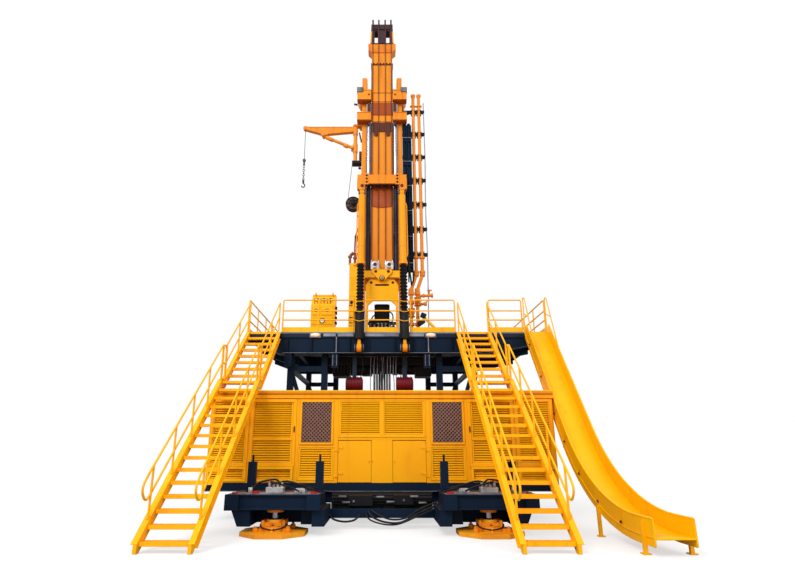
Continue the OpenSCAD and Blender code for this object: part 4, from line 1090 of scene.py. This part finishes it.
# A plate with a rounded lower edge paints the middle beam's shadow on the column.
SHADE_ARC_R, SHADE_LOW = 1.17, 9.3
mid_beam_shade = bar((0, (3.074, 3.098), SHADE_LOW + SHADE_ARC_R), SHADE_ARC_R, 96, 0)
for at, way in (
        ((0.36, 0, 0), (1, 0, 0)), ((-0.36, 0, 0), (-1, 0, 0)), ((0, 0, 10.07), (0, 0, 1))):
    cut(mid_beam_shade, at, way)
break_edges(mid_beam_shade, 0.004)
fit([
    mid_beam_shade,
    # Plates of painted shade between the head beams, beside the mast foot and under both head
    # beams.
    plate((-0.36, 3.074, 12.86), (0.36, 3.098, 13.36), 0.006),
    mirrored(plate((0.38, 3.04, 6.4), (0.545, 3.098, 6.98), 0.006)),
    *[mirrored(plate((0.4, BEAM_FRONT + 0.02, z - 0.03), (0.86, 3.14, z - 0.001), 0.006))
      for z in (HEAD_TOP, HEAD_LOW)],
], "painted_shade_plates", painted_shade_orange)

# Head beams: lips, covers, notched lugs, the two rounded hangers and plates of painted shade
lips = []
for z, h in ((HEAD_LOW, HEAD_LOW_H), (HEAD_TOP, HEAD_TOP_H)):
    for low, high in ((z, z + 0.02), (z + h - 0.014, z + h + 0.012)):
        lips.append(plate((0.382, BEAM_FRONT - 0.02, low), (0.87, 3.15, high), 0.004))
lips += [
    plate((0.44, BEAM_FRONT - 0.012, HEAD_LOW + 0.03), (0.455, BEAM_FRONT, HEAD_LOW + 0.27), 0.003),
    plate((SIDE_X - 0.1, SIDE_FRONT - 0.02, 13.82), (SIDE_X - 0.08, 3.45, 14.4), 0.004),
]
fit(mirrored(lips), "head_beam_lips", mast_orange)
fit(mirrored([
    bar(((0.66, 0.885), 2.97, 13.79), 0.115, 32, 0.012),
    plate((0.665, 2.87, 13.68), (0.88, 3.1, 13.79), 0.012),
]), "sheave_covers", cover_grey)
hangers = []
for x in (-0.21, 0.21):
    hangers.append(plate((x - 0.075, 3.056, 12.08), (x + 0.075, 3.075, 12.55), 0.008))
    hangers.append(bar((x, (3.058, 3.075), 12.08), 0.0745, 32, 0.006))
fit([
    mirrored([
        bar((0.46, (BEAM_FRONT, BEAM_FRONT - 0.028), 13.58), 0.04, 3, 0),
        # Dark blocks between the head beams paint the shade there.
        plate((0.39, 3.0, 12.9), (0.52, 3.14, 13.34), 0.01),
        plate((0.42, 2.96, 12.38), (0.5, 3.03, 12.52), 0.01),
    ]),
    *hangers,
    # A dark plate paints the shade on the column under the lower head beam.
    plate((-0.36, 3.076, 12.18), (0.36, 3.098, 12.55), 0.006),
    rod((-0.86, 3.0, 13.22), (-0.98, 3.0, 13.24), 0.035, 16),
], "head_dark_parts", crown_brown)

# Middle beam: bolted cheeks, end plates and a soffit plate with painted shade
fit(mirrored([
    plate((0.44, 2.832, 10.03), (0.58, 2.852, 10.44), 0.006),
    plate((0.755, 2.835, 9.86), (0.83, 3.03, 10.28), 0.02),
    plate((0.5, 2.84, 10.395), (0.7, 3.02, 10.45), 0.012),
    plate((0.1, 2.838, 10.08), (0.11, 2.852, 10.39), 0.002),
]), "mid_beam_cheeks", mast_orange)
fit([
    mirrored(spread(bolt((0.51, 2.832, 10.12), FRONTWARDS, 0.045),
                    [(0, 0, 0), (0, 0, 0.12), (0, 0, 0.24)])),
    row(plate((-0.5, 2.87, 9.95), (-0.486, 3.02, 10.07), 0.004), 5, (0.2465, 0, 0)),
    # A dark plate paints the shade on the middle beam's soffit.
    plate((-0.56, 2.88, 10.04), (0.56, 3.02, 10.068), 0.004),
    mirrored(plate((0.56, 2.845, 9.84), (0.58, 2.86, 10.06), 0.004)),
    mirrored(bar((0.66, (2.83, 2.86), 9.99), 0.055, 20)),
], "mid_beam_bolts", crown_brown)

# Crown: orange edge straps, dark sheave box and grooved sheave rims
SHEAVE_Y, SHEAVE_Z = 3.26, 16.858
fit(mirrored([
    beam((0.402, 3.068, 15.9), (0.386, 3.068, 16.42), 0.03, 0.045, 0.004),
    plate((0.36, 3.06, 15.83), (0.505, 3.44, 15.88), 0.008),
    plate((0.36, 3.058, 15.55), (0.385, 3.44, 15.87), 0.006),
]), "crown_straps", mast_orange)
fit([
    *[ring((x + s * 0.016, SHEAVE_Y, SHEAVE_Z), (1, 0, 0), 0.2, 0.012, 40)
      for x in ROPE_XS for s in (-1, 1)],
    *[plate((x - 0.03, 3.066, 16.48), (x + 0.03, 3.08, 16.76), 0.004) for x in ROPE_XS],
    bar(((-0.4, 0.4), SHEAVE_Y, SHEAVE_Z), 0.04, 20),
    plate((-0.385, 3.06, 16.5), (0.385, 3.082, 16.55), 0.004),
    plate((-0.43, 3.05, 15.875), (0.43, 3.085, 15.9), 0.004),
], "crown_sheaves", box_black)

# Rope clamps, equaliser pin and its bolts
FOOT_PLATE, CLAMP_LOW, CLAMP_TOP, CLAMP_XS = 6.78, 7.09, 7.34, (-0.226, 0.226)
LINK_FRONT = 2.9
sockets = []
for x in ROPE_XS:
    sockets.append(bar((x, ROPE_Y, (CLAMP_TOP, CLAMP_TOP + 0.1)), 0.04, 20, 0.008, 0.018))
for x in CLAMP_XS:
    sockets.append(bar((x, (2.965, 3.01), CLAMP_LOW + 0.15), 0.135, 32, 0.012))
    for jaw in (x - 0.1, x + 0.1):
        sockets.append(plate(
            (jaw - 0.04, 2.955, CLAMP_LOW), (jaw + 0.04, 3.01, CLAMP_LOW + 0.17), 0.008))
fit(sockets, "rope_sockets", clamp_silver)
fit(bar((0, (LINK_FRONT - 0.05, LINK_FRONT - 0.066), FOOT_PLATE), 0.05, 24),
    "equaliser_pin", bolt_zinc)
fit([
    ring((0, LINK_FRONT - 0.006, FOOT_PLATE), (0, 1, 0), 0.078, 0.014),
    *[bolt((x, LINK_FRONT, FOOT_PLATE + 0.22), FRONTWARDS, 0.055) for x in (-0.2, 0.2)],
    *[bolt((x, 3.0, FOOT_PLATE - 0.12), FRONTWARDS, 0.05) for x in (-0.342, 0.342)],
    *[bar((x, (2.965, 2.955), CLAMP_LOW + 0.17), 0.06, 24) for x in CLAMP_XS],
    *[plate((x - 0.05, 2.958, CLAMP_LOW + 0.005), (x + 0.05, 2.966, CLAMP_LOW + 0.06), 0.004)
      for x in CLAMP_XS],
    plate((-0.075, 2.96, CLAMP_LOW + 0.001), (0.075, 3.02, CLAMP_LOW + 0.045), 0.006),
    plate((-0.545, 2.938, FOOT_PLATE + 0.002), (0.545, 2.9405, FOOT_PLATE + 0.03), 0.001),
], "equaliser_bolts", crown_brown)
fit([
    mirrored(beam((0.085, LINK_FRONT - 0.006, FOOT_PLATE - 0.07),
                  (0.325, LINK_FRONT - 0.006, FOOT_PLATE + 0.2), 0.03, 0.012, 0.003)),
    plate((-0.325, LINK_FRONT - 0.012, CLAMP_LOW - 0.03),
          (0.325, LINK_FRONT, CLAMP_LOW - 0.002), 0.003),
], "equaliser_ribs", barrel_yellow)

# Foot plate: stiffened edges round the doorway
fit([
    mirrored([
        plate((0.436, 2.985, 4.92), (0.456, 3.0, 5.91), 0.004),
        beam((0.446, 2.993, 5.91), (0.29, 2.993, 6.07), 0.015, 0.02, 0.003),
        plate((0.5, 2.985, 4.92), (0.52, 3.0, 6.56), 0.004),
        beam((0.51, 2.993, 6.56), (0.37, 2.993, 6.77), 0.015, 0.02, 0.003),
    ]),
    plate((-0.29, 2.985, 6.062), (0.29, 3.0, 6.082), 0.004),
], "foot_plate_ribs", barrel_yellow)
fit(plate((-0.214, 3.03, 6.551), (0.214, 3.055, 6.609), 0.002), "foot_plate_slot", box_black)

# Finned motor and hoses behind the doorway
fit([
    plate((-0.2, 3.24, 5.5), (0.2, 3.6, 6.02), 0.02),
    row(plate((-0.24, 3.22, 5.52), (0.24, 3.6, 5.536), 0.003), 12, (0, 0, 0.042)),
    plate((-0.42, 3.24, 4.92), (0.42, 3.6, 5.3), 0.02),
    plate((-0.42, 3.34, 5.3), (0.24, 3.6, 5.56), 0.03),
    bar(((-0.45, 0.45), 3.3, 5.4), 0.05, 18),
], "floor_motor", box_black)
fit([
    row(bar((-0.36, 3.19, span), radius, 16), 7, (0.12, 0, 0))
    for span, radius in (((4.95, 5.34), 0.036), ((5.34, 5.38), 0.046))
], "floor_motor_pots", edge_grey)
fit(tubes([
    [(-0.3, 3.15, 5.3), (-0.34, 3.1, 5.5), (-0.24, 3.2, 5.66), (-0.1, 3.3, 5.6)],
    [(0.28, 3.15, 5.3), (0.36, 3.1, 5.56), (0.3, 3.2, 5.74), (0.1, 3.3, 5.8)],
    [(0.12, 3.14, 5.3), (0.3, 3.12, 5.45), (0.42, 3.2, 5.0)],
    [(-0.12, 3.14, 5.3), (-0.3, 3.12, 5.4), (-0.42, 3.2, 5.0)],
], 0.02, 0.12), "floor_motor_hoses", hose_black)

# Raising cylinders: glands, clevis cheeks and hydraulic pipes
LOW_EYE, HIGH_EYE = Vector((0.66, 2.01, 4.39)), Vector((0.66, 2.9, 9.7397))
LEAN = (HIGH_EYE - LOW_EYE).normalized()


def on_cylinder(distance, across=0.0):
    """A place along a raising cylinder, from its lower eye."""
    return LOW_EYE + LEAN * distance + Vector((across, 0, 0))


RAISE_LEN = (HIGH_EYE - LOW_EYE).length
GLAND = RAISE_LEN * 0.5
fit(mirrored([
    rod(on_cylinder(GLAND + 0.09), on_cylinder(GLAND + 0.16), 0.128, 28, 0.01),
    rod(on_cylinder(GLAND + 0.62), on_cylinder(GLAND + 0.67), 0.124, 28, 0.008),
    rod(on_cylinder(RAISE_LEN - 0.36), on_cylinder(RAISE_LEN - 0.08), 0.112, 28, 0.03),
]), "cylinder_glands", cylinder_amber)
fit(mirrored(tubes([
    [on_cylinder(*at) for at in ((GLAND + 0.3, 0.13), (GLAND + 0.45, 0.145),
                                 (RAISE_LEN - 0.5, 0.145), (RAISE_LEN - 0.4, 0.12))],
], 0.018, 0.06)), "cylinder_pipes", cylinder_amber)
fit(mirrored([
    rod(eye + Vector((s * 0.072, 0, 0)), eye + Vector((s * reach, 0, 0)), radius, 24, 0.008)
    for eye, reach, radius in ((LOW_EYE, 0.135, 0.1), (HIGH_EYE, 0.12, 0.07)) for s in (-1, 1)
]), "clevis_caps", cover_grey)

fit(mirrored([
    rod(on_cylinder(0.24), on_cylinder(1.12), 0.138, 28, 0.02),
    rod(on_cylinder(1.06), on_cylinder(1.14), 0.15, 28, 0.012),
]), "cylinder_boots", gaiter_black)

# Chains across the railing gaps, in front of the gaiters
chains = []
for height in (0.95, 0.64, 0.36):
    for side in (-1, 1):
        z = FLOOR + height
        sag = ((0.86, FRONT_RAIL - 0.02, 0), (0.82, 1.98, 0.05), (0.66, 1.9, 0.12),
               (0.5, 1.98, 0.05), (0.46, FRONT_RAIL - 0.02, 0))
        chains.append([(side * x, y, z - drop) for x, y, drop in sag])
fit(tubes(chains, 0.01, 0.1), "gap_chains", barrel_yellow)

# Standpipes: dark clamps, swivel tops and the valve manifold
PIPE_XS, PIPE_Y = (1.11, 1.31), 3.26
LOW_XS, LOW_Y = (0.93, 1.13), 3.2
JOG_LOW, JOG_TOP = 6.46, 7.0
CLIP_ZS = [7.64 + 0.9 * i for i in range(7)]
one_clamp = join([
    *[plate((x - 0.085, PIPE_Y - 0.01, -0.06), (x + 0.085, PIPE_Y + 0.1, 0.17), 0.012)
      for x in PIPE_XS],
    plate((0.71, PIPE_Y - 0.042, -0.012), (1.5, PIPE_Y + 0.042, 0.102), 0.006),
    beam((0.72, PIPE_Y - 0.02, -0.13), (1.0, PIPE_Y - 0.02, -0.01), 0.03, 0.04, 0.004),
])
fit(spread(one_clamp, [(0, 0, z) for z in CLIP_ZS]), "pipe_clamps", deep_navy)
one_band = join([
    *[bar((x, PIPE_Y, (0.1, 0.135)), 0.07, 20) for x in PIPE_XS],
    *[bar((x, PIPE_Y, (-0.025, 0.0)), 0.066, 20) for x in PIPE_XS],
])
fit(spread(one_band, [(0, 0, z) for z in CLIP_ZS]), "pipe_bands", mast_orange)
MAST_CABLE = (1.47, 5.2), (1.49, 7.6), (1.46, 9.4), (1.49, 11.2), (1.47, 13.45)
fit(tubes([[(x, PIPE_Y - 0.02, z) for x, z in MAST_CABLE]], 0.016, 0.5),
    "mast_cable", edge_grey)
swivels = []
for x in PIPE_XS:
    swivels.append(bar((x, PIPE_Y, (13.66, 13.76)), 0.055, 20, 0.004, 0.085))
    swivels.append(bar((x, PIPE_Y, (13.76, 13.79)), 0.085, 20))
    swivels.append(bar((x, PIPE_Y, (13.3, 13.36)), 0.08, 20))
    swivels.append(bar(((x - 0.11, x + 0.11), PIPE_Y, 13.33), 0.035, 16))
fit(swivels, "pipe_swivels", mast_orange)


def handwheel(at, way, radius):
    """Rim, hub and four spokes."""
    at, way = Vector(at), Vector(way).normalized()
    side = way.orthogonal().normalized()
    up = way.cross(side)
    made = [ring(at, way, radius, radius * 0.12, 24),
            rod(at - way * 0.03, at + way * 0.02, radius * 0.25, 14)]
    for spoke in (side, up):
        made.append(rod(at - spoke * radius, at + spoke * radius, radius * 0.08, 8, 0))
    return join(made)


def gate_valve(x, y, z, size):
    """A valve body on an upright pipe, with flanges and a bonnet to the front."""
    return join([
        bar((x, y, (z - size, z + size)), size * 0.75, 20, 0.01),
        bar((x, y, (z - size * 1.15, z - size)), size, 20, 0.006),
        bar((x, y, (z + size, z + size * 1.15)), size, 20, 0.006),
        bar((x, (y, y - size * 1.7), z), size * 0.45, 16, 0.006),
        handwheel((x, y - size * 1.7, z), FRONTWARDS, size * 0.85),
    ])


unions = []
for x, low_x in zip(PIPE_XS, LOW_XS):
    unions.append(bar((x, PIPE_Y, (JOG_TOP - 0.06, JOG_TOP + 0.14)), 0.085, 20, 0.02))
    unions.append(bar((low_x, LOW_Y, (JOG_LOW - 0.14, JOG_LOW + 0.06)), 0.085, 20, 0.02))
fit([
    *unions,
    gate_valve(LOW_XS[0], LOW_Y, 5.72, 0.12),
    gate_valve(LOW_XS[1], LOW_Y, 6.08, 0.12),
    tubes([
        [(LOW_XS[1], LOW_Y, 6.27), (1.58, LOW_Y - 0.06, 6.27)],
        [(LOW_XS[1], LOW_Y, 6.0), (1.36, LOW_Y - 0.04, 6.0)],
    ], 0.045, 0.16),
    bar(((1.56, 1.62), LOW_Y - 0.06, 6.27), 0.07, 18),
    bar(((1.3, 1.35), LOW_Y - 0.04, 6.27), 0.065, 18),
    bar((1.51, LOW_Y - 0.06, (6.27, 6.42)), 0.02, 14),
    handwheel((1.51, LOW_Y - 0.06, 6.44), UPWARDS, 0.075),
    bar(((1.34, 1.42), LOW_Y - 0.04, 6.0), 0.065, 18),
    beam((1.37, LOW_Y - 0.1, 6.02), (1.5, LOW_Y - 0.14, 6.14), 0.02, 0.03, 0.004),
], "valve_manifold", mast_orange)
fit([
    beam((1.21, 3.02, 5.62), (1.37, 3.02, 5.55), 0.14, 0.15, 0.02),
    beam((1.11, 3.02, 5.29), (1.32, 3.02, 5.43), 0.14, 0.14, 0.02),
    tubes([[(1.2, 3.12, 5.0), (1.35, 3.05, 5.2), (1.58, 3.05, 5.0)],
           [(0.95, 3.12, 6.6), (0.86, 2.98, 7.2), (0.84, 3.06, 8.2)]], 0.03, 0.15),
], "manifold_hoses", hose_black)
fit([
    beam((1.34, 3.02, 5.5), (1.86, 2.95, 4.93), 0.07, 0.08, 0.01),
    plate((1.78, 2.88, 4.9), (1.98, 3.04, 4.93), 0.006),
], "manifold_brace", barrel_yellow)

# Thin lines strapped to the navy pipes
fit([
    tubes([[(x, 3.1, 6.7), (x, 3.1, 12.45)] for x in (0.73, 0.86, 1.0)], 0.022),
    row(plate((0.72, 3.075, 7.2), (1.02, 3.24, 7.28), 0.008), 6, (0, 0, 0.92)),
    plate((0.72, 3.1, 9.9), (1.02, 3.24, 10.0), 0.008),
], "line_straps", deep_navy)
fit(row(plate((0.718, 3.07, 7.34), (1.022, 3.24, 7.36), 0.003), 6, (0, 0, 0.92)),
    "line_ties", edge_grey)

# Cabinet and console
fit([
    plate((-1.03, 2.945, 6.2), (-0.78, 2.962, 7.25), 0.004),
    plate((-1.03, 2.945, 5.25), (-0.78, 2.962, 5.3), 0.004),
    row(plate((-1.0, 2.938, 6.4), (-0.81, 2.948, 6.42), 0.002), 8, (0, 0, 0.06)),
    plate((-0.9, 2.9, 7.2), (-0.8, 2.96, 7.28), 0.008),
], "cabinet_cover", barrel_yellow)
fit([
    bar((-0.95, (2.9, 2.87), 5.98), 0.05, 20),
    plate((-1.035, 2.88, 5.4), (-1.0, 2.95, 5.46), 0.006),
    row(bar((-0.98, (2.91, 2.89), 5.5), 0.02, 12), 3, (0.05, 0, 0)),
], "cabinet_fittings", box_black)

CONSOLE_Y = 2.85
fit([
    *[plate((x0, y, z0), (x1, 2.852, z1), 0.006) for x0, x1, y, z0, z1 in (
        (-2.16, -1.92, 2.832, 5.56, 5.86), (-1.88, -1.52, 2.832, 5.56, 5.86),
        (-2.16, -1.52, 2.835, 5.26, 5.5), (-2.16, -1.86, 2.835, 4.96, 5.2),
        (-1.82, -1.52, 2.835, 4.96, 5.2))],
    plate((-2.2, 3.18, 6.26), (-1.46, 3.4, 6.31), 0.01),
    *[plate((x - 0.02, 3.1, 6.28), (x + 0.02, 3.2, 6.36), 0.006) for x in (-2.1, -1.56)],
], "console_panels", barrel_yellow)
dials, rims = [], []
face = Vector((0, -0.38, 0.35)).normalized()
for x in (-2.05, -1.83, -1.61):
    at = Vector((x, CONSOLE_Y + 0.175, 6.08)) + face * 0.026
    dials.append(rod(at, at + face * 0.006, 0.06, 24, 0))
    rims.append(ring(at + face * 0.004, face, 0.066, 0.011, 28))
for x, z, r in (
        (-1.84, 5.38, 0.075), (-1.84, 5.08, 0.06), (-2.04, 5.71, 0.04), (-1.7, 5.71, 0.04)):
    dials.append(bar((x, (2.836, 2.826), z), r * 0.85, 24, 0))
    rims.append(ring((x, 2.828, z), (0, 1, 0), r, 0.012, 24))
fit(dials, "console_dials", dial_white)
levers = []
for i in range(6):
    x = -2.1 + i * 0.1
    levers.append(rod((x, 2.9, 5.93), (x, 2.82, 6.06), 0.01, 10))
    levers.append(rod((x, 2.825, 6.05), (x, 2.81, 6.075), 0.022, 12))
levers += [
    row(bar(((-1.455, -1.4), 2.98, 5.35), 0.035, 14), 4, (0, 0, 0.16)),
    row(bar(((-1.455, -1.41), 3.12, 5.35), 0.035, 14), 4, (0, 0, 0.16)),
]
fit(rims + levers, "console_levers", box_black)


# Jib and its hook

JIB_X, JIB_Y, JIB_Z, JIB_TIP = -0.93, 3.25, 12.45, -2.73
DEEP_X = JIB_X - 1.8 * 0.62

fit([
    *[beam((JIB_X - 0.08, y, JIB_Z - 0.02), (JIB_TIP + 0.1, y, JIB_Z - 0.02), 0.012, 0.03, 0.003)
      for y in (JIB_Y - 0.078, JIB_Y + 0.078)],
    bar((DEEP_X, (JIB_Y - 0.12, JIB_Y + 0.12), JIB_Z - 0.33), 0.055, 20),
    bar((JIB_X - 0.1, (JIB_Y - 0.12, JIB_Y + 0.12), JIB_Z - 0.83), 0.055, 20),
    bar((JIB_TIP + 0.04, (JIB_Y - 0.09, JIB_Y + 0.09), JIB_Z - 0.04), 0.03, 16),
    bar((JIB_X, JIB_Y, (JIB_Z - 0.3, JIB_Z + 0.005)), 0.085, 24),
    bar((JIB_X, JIB_Y, (JIB_Z - 1.0, JIB_Z - 0.66)), 0.085, 24),
], "jib_pins", mast_orange, "jib")
strut_low = Vector((JIB_X - 0.12, JIB_Y, JIB_Z - 0.822))
strut_high = Vector((DEEP_X, JIB_Y, JIB_Z - 0.34))
along = (strut_low - strut_high).normalized()
fit([
    rod(strut_high + along * 0.12, strut_high + along * 0.36, 0.07, 20),
    rod(strut_low - along * 0.3, strut_low - along * 0.16, 0.072, 20),
], "jib_strut_glands", mast_orange, "jib")

line_x = JIB_TIP + 0.04
hook_parts = [
    tubes([[(line_x, JIB_Y, JIB_Z - 0.12), (line_x, JIB_Y, 11.2)]], 0.009),
    bar((line_x, (JIB_Y - 0.035, JIB_Y + 0.035), 11.16), 0.055, 24, 0.01),
    bar((line_x, JIB_Y, (11.1, 10.98)), 0.03, 14),
]
link = ring((line_x, JIB_Y, 0), (0, 1, 0), 0.032, 0.008, 16)
chain_axis = spot(line_x, JIB_Y, 0)
with editing(link):
    bpy.ops.transform.resize(value=(1, 1, 1.55), center_override=chain_axis)
crossed = copied(link)
with editing(crossed):
    bpy.ops.transform.rotate(value=math.radians(90), orient_axis="Z", center_override=chain_axis)
    bpy.ops.transform.translate(value=(0, 0, 0.082))
pair = join([link, crossed])
hook_parts.append(spread(pair, [(0, 0, 10.44 + 0.164 * i) for i in range(4)]))
bow = [(line_x, JIB_Y, 10.4), (line_x, JIB_Y, 10.28)]
for i in range(9):
    turn = math.radians(90 - i * 32)
    bow.append((line_x + 0.06 * math.cos(turn), JIB_Y, 10.2 + 0.068 * math.sin(turn)))
hook_parts.append(tubes([bow], 0.019, 0.02, 3))
hook_parts.append(bar((line_x, JIB_Y, (10.42, 10.3)), 0.034, 16))
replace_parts(fit(hook_parts, "hook_and_chain", rope_dark, "jib"), "hook_line")

REEL_X, REEL_Z, REEL_R, REEL_FRONT = JIB_X - 0.04, 9.49, 0.25, JIB_Y - 0.09
fit([
    row(ring((REEL_X, JIB_Y - 0.055, REEL_Z), (0, 1, 0), 0.19, 0.014, 36), 5, (0, 0.0275, 0)),
    bar((REEL_X, (JIB_Y - 0.062, JIB_Y + 0.062), REEL_Z), 0.185, 36),
    tubes([[(REEL_X - 0.19, JIB_Y, REEL_Z + 0.05), (JIB_X - 0.09, JIB_Y, 11.1)]], 0.008),
], "winch_rope", rope_dark)
hub = Vector((REEL_X, REEL_FRONT - 0.008, REEL_Z))
spokes = [
    ring(hub, (0, 1, 0), REEL_R - 0.02, 0.018, 40),
    ring(hub, (0, 1, 0), 0.13, 0.012, 32),
    bar((REEL_X, (REEL_FRONT, REEL_FRONT - 0.07), REEL_Z), 0.075, 24),
]
for i in range(8):
    turn = math.radians(45 * i)
    out = Vector((math.cos(turn), 0, math.sin(turn)))
    spokes.append(beam(hub + out * 0.06, hub + out * (REEL_R - 0.02), 0.016, 0.02, 0.003))
fit(spokes, "winch_reel_face", box_black)
fit([
    tubes([[(-0.76, 3.08, 8.6), (-0.86, 3.02, 8.3), (-0.88, 3.0, 7.9), (-0.88, 3.0, 7.64)]],
          0.028, 0.15),
    tubes([[(-0.72, 3.08, 7.64), (-1.0, 3.02, 7.64), (-1.03, 3.0, 7.5), (-1.03, 3.02, 7.26)],
           [(-0.87, 3.05, 7.64), (-0.87, 3.02, 7.26)]], 0.04, 0.12),
    bar((-1.03, 3.02, (7.5, 7.56)), 0.065, 18),
    bar((-0.87, 3.03, (7.46, 7.52)), 0.065, 18),
    bar(((-0.98, -0.93), 3.03, 7.64), 0.065, 18),
    plate((-0.88, 3.05, 8.1), (-0.72, 3.14, 8.3), 0.012),
], "side_piping", pipe_blush)
fit([
    plate((-1.03, 3.12, 10.98), (-0.72, 3.38, 11.09), 0.012),
    bar((-0.84, (3.06, 2.96), 8.2), 0.055, 16),
    rod((-0.72, 3.12, 9.0), (-0.8, 3.1, 9.0), 0.04, 14),
    rod((-0.72, 3.12, 10.78), (-0.8, 3.1, 10.78), 0.04, 14),
], "side_knobs", box_black)
fit([
    beam((-0.79, 3.17, 12.2), (-0.715, 3.17, 11.82), 0.05, 0.05, 0.006),
    plate((-0.79, 3.15, 11.09), (-0.7, 3.2, 11.46), 0.01),
    bar((-0.76, 3.13, (11.16, 11.42)), 0.03, 16),
], "jib_stays", crown_brown)


# Floor and light


def studio_floor(name):
    """White floor: soft shadows near the rig, plain white further out, little light thrown back."""
    f = Finish(name, Roughness=0.9)
    f.feed("Base Color", f.mix(f.noise(0.4) * 0.1, rgb(252, 252, 252), rgb(246, 246, 246)))
    shaded = Shade(f, f.shader.outputs[0])
    dim = f.node("ShaderNodeBsdfDiffuse", None, {"Color": rgb(164, 164, 164)})
    glow = f.node("ShaderNodeEmission", None, {"Color": (1, 1, 1, 1), "Strength": 1.0})
    away = f.node("ShaderNodeVectorMath", {"operation": "LENGTH"}, {0: f.place}, output="Value")
    share = 0.6 + away.between(7.0, 12.0) * 0.4
    seen = f.node("ShaderNodeMixShader", None, {0: share, 1: shaded, 2: glow})
    by_camera = f.node("ShaderNodeLightPath", output="Is Camera Ray")
    look = f.node("ShaderNodeMixShader", None, {0: by_camera, 1: dim, 2: seen})
    f.tree.links.new(look.socket, f.tree.nodes["Material Output"].inputs["Surface"])
    return f.material


pick()
bpy.ops.mesh.primitive_plane_add(size=160, location=(0, 0, -0.002))
ground = bpy.context.object
ground.name = "ground"
ground.data.materials.append(studio_floor("ground_white"))

# The sky lights the rig a little less than its shown white
SKY_LIGHT, SHOWN_LIGHT = 0.93, 1.0
world = bpy.data.worlds.new("studio")
world.use_nodes = True
scene.world = world
sky = world.node_tree
sky.nodes["Background"].inputs["Color"].default_value = (1, 1, 1, 1)
sky.nodes["Background"].inputs["Strength"].default_value = SKY_LIGHT
white = sky.nodes.new("ShaderNodeBackground")
white.inputs["Color"].default_value = (1, 1, 1, 1)
white.inputs["Strength"].default_value = SHOWN_LIGHT
rays = sky.nodes.new("ShaderNodeLightPath")
choose = sky.nodes.new("ShaderNodeMixShader")
shown = rays.outputs["Is Camera Ray"]
for other in ("Is Glossy Ray", "Is Transmission Ray"):
    either = sky.nodes.new("ShaderNodeMath")
    either.operation = "MAXIMUM"
    sky.links.new(shown, either.inputs[0])
    sky.links.new(rays.outputs[other], either.inputs[1])
    shown = either.outputs[0]
sky.links.new(shown, choose.inputs[0])
sky.links.new(sky.nodes["Background"].outputs[0], choose.inputs[1])
sky.links.new(white.outputs[0], choose.inputs[2])
sky.links.new(choose.outputs[0], sky.nodes["World Output"].inputs[0])


def softbox(name, place, target, size, power):
    light = bpy.data.lights.new(name, "AREA")
    light.shape = "RECTANGLE"
    light.size, light.size_y = size
    light.energy = power
    lamp = bpy.data.objects.new(name, light)
    lamp.location = spot(*place)
    lamp.rotation_euler = (spot(*target) - lamp.location).to_track_quat("-Z", "Y").to_euler()
    scene.collection.objects.link(lamp)


softbox("key_light", (-12, -20, 22), (0, 1, 5), (10, 10), 4600)
softbox("fill_light", (16, -18, 12), (0, 1, 5), (10, 10), 1000)
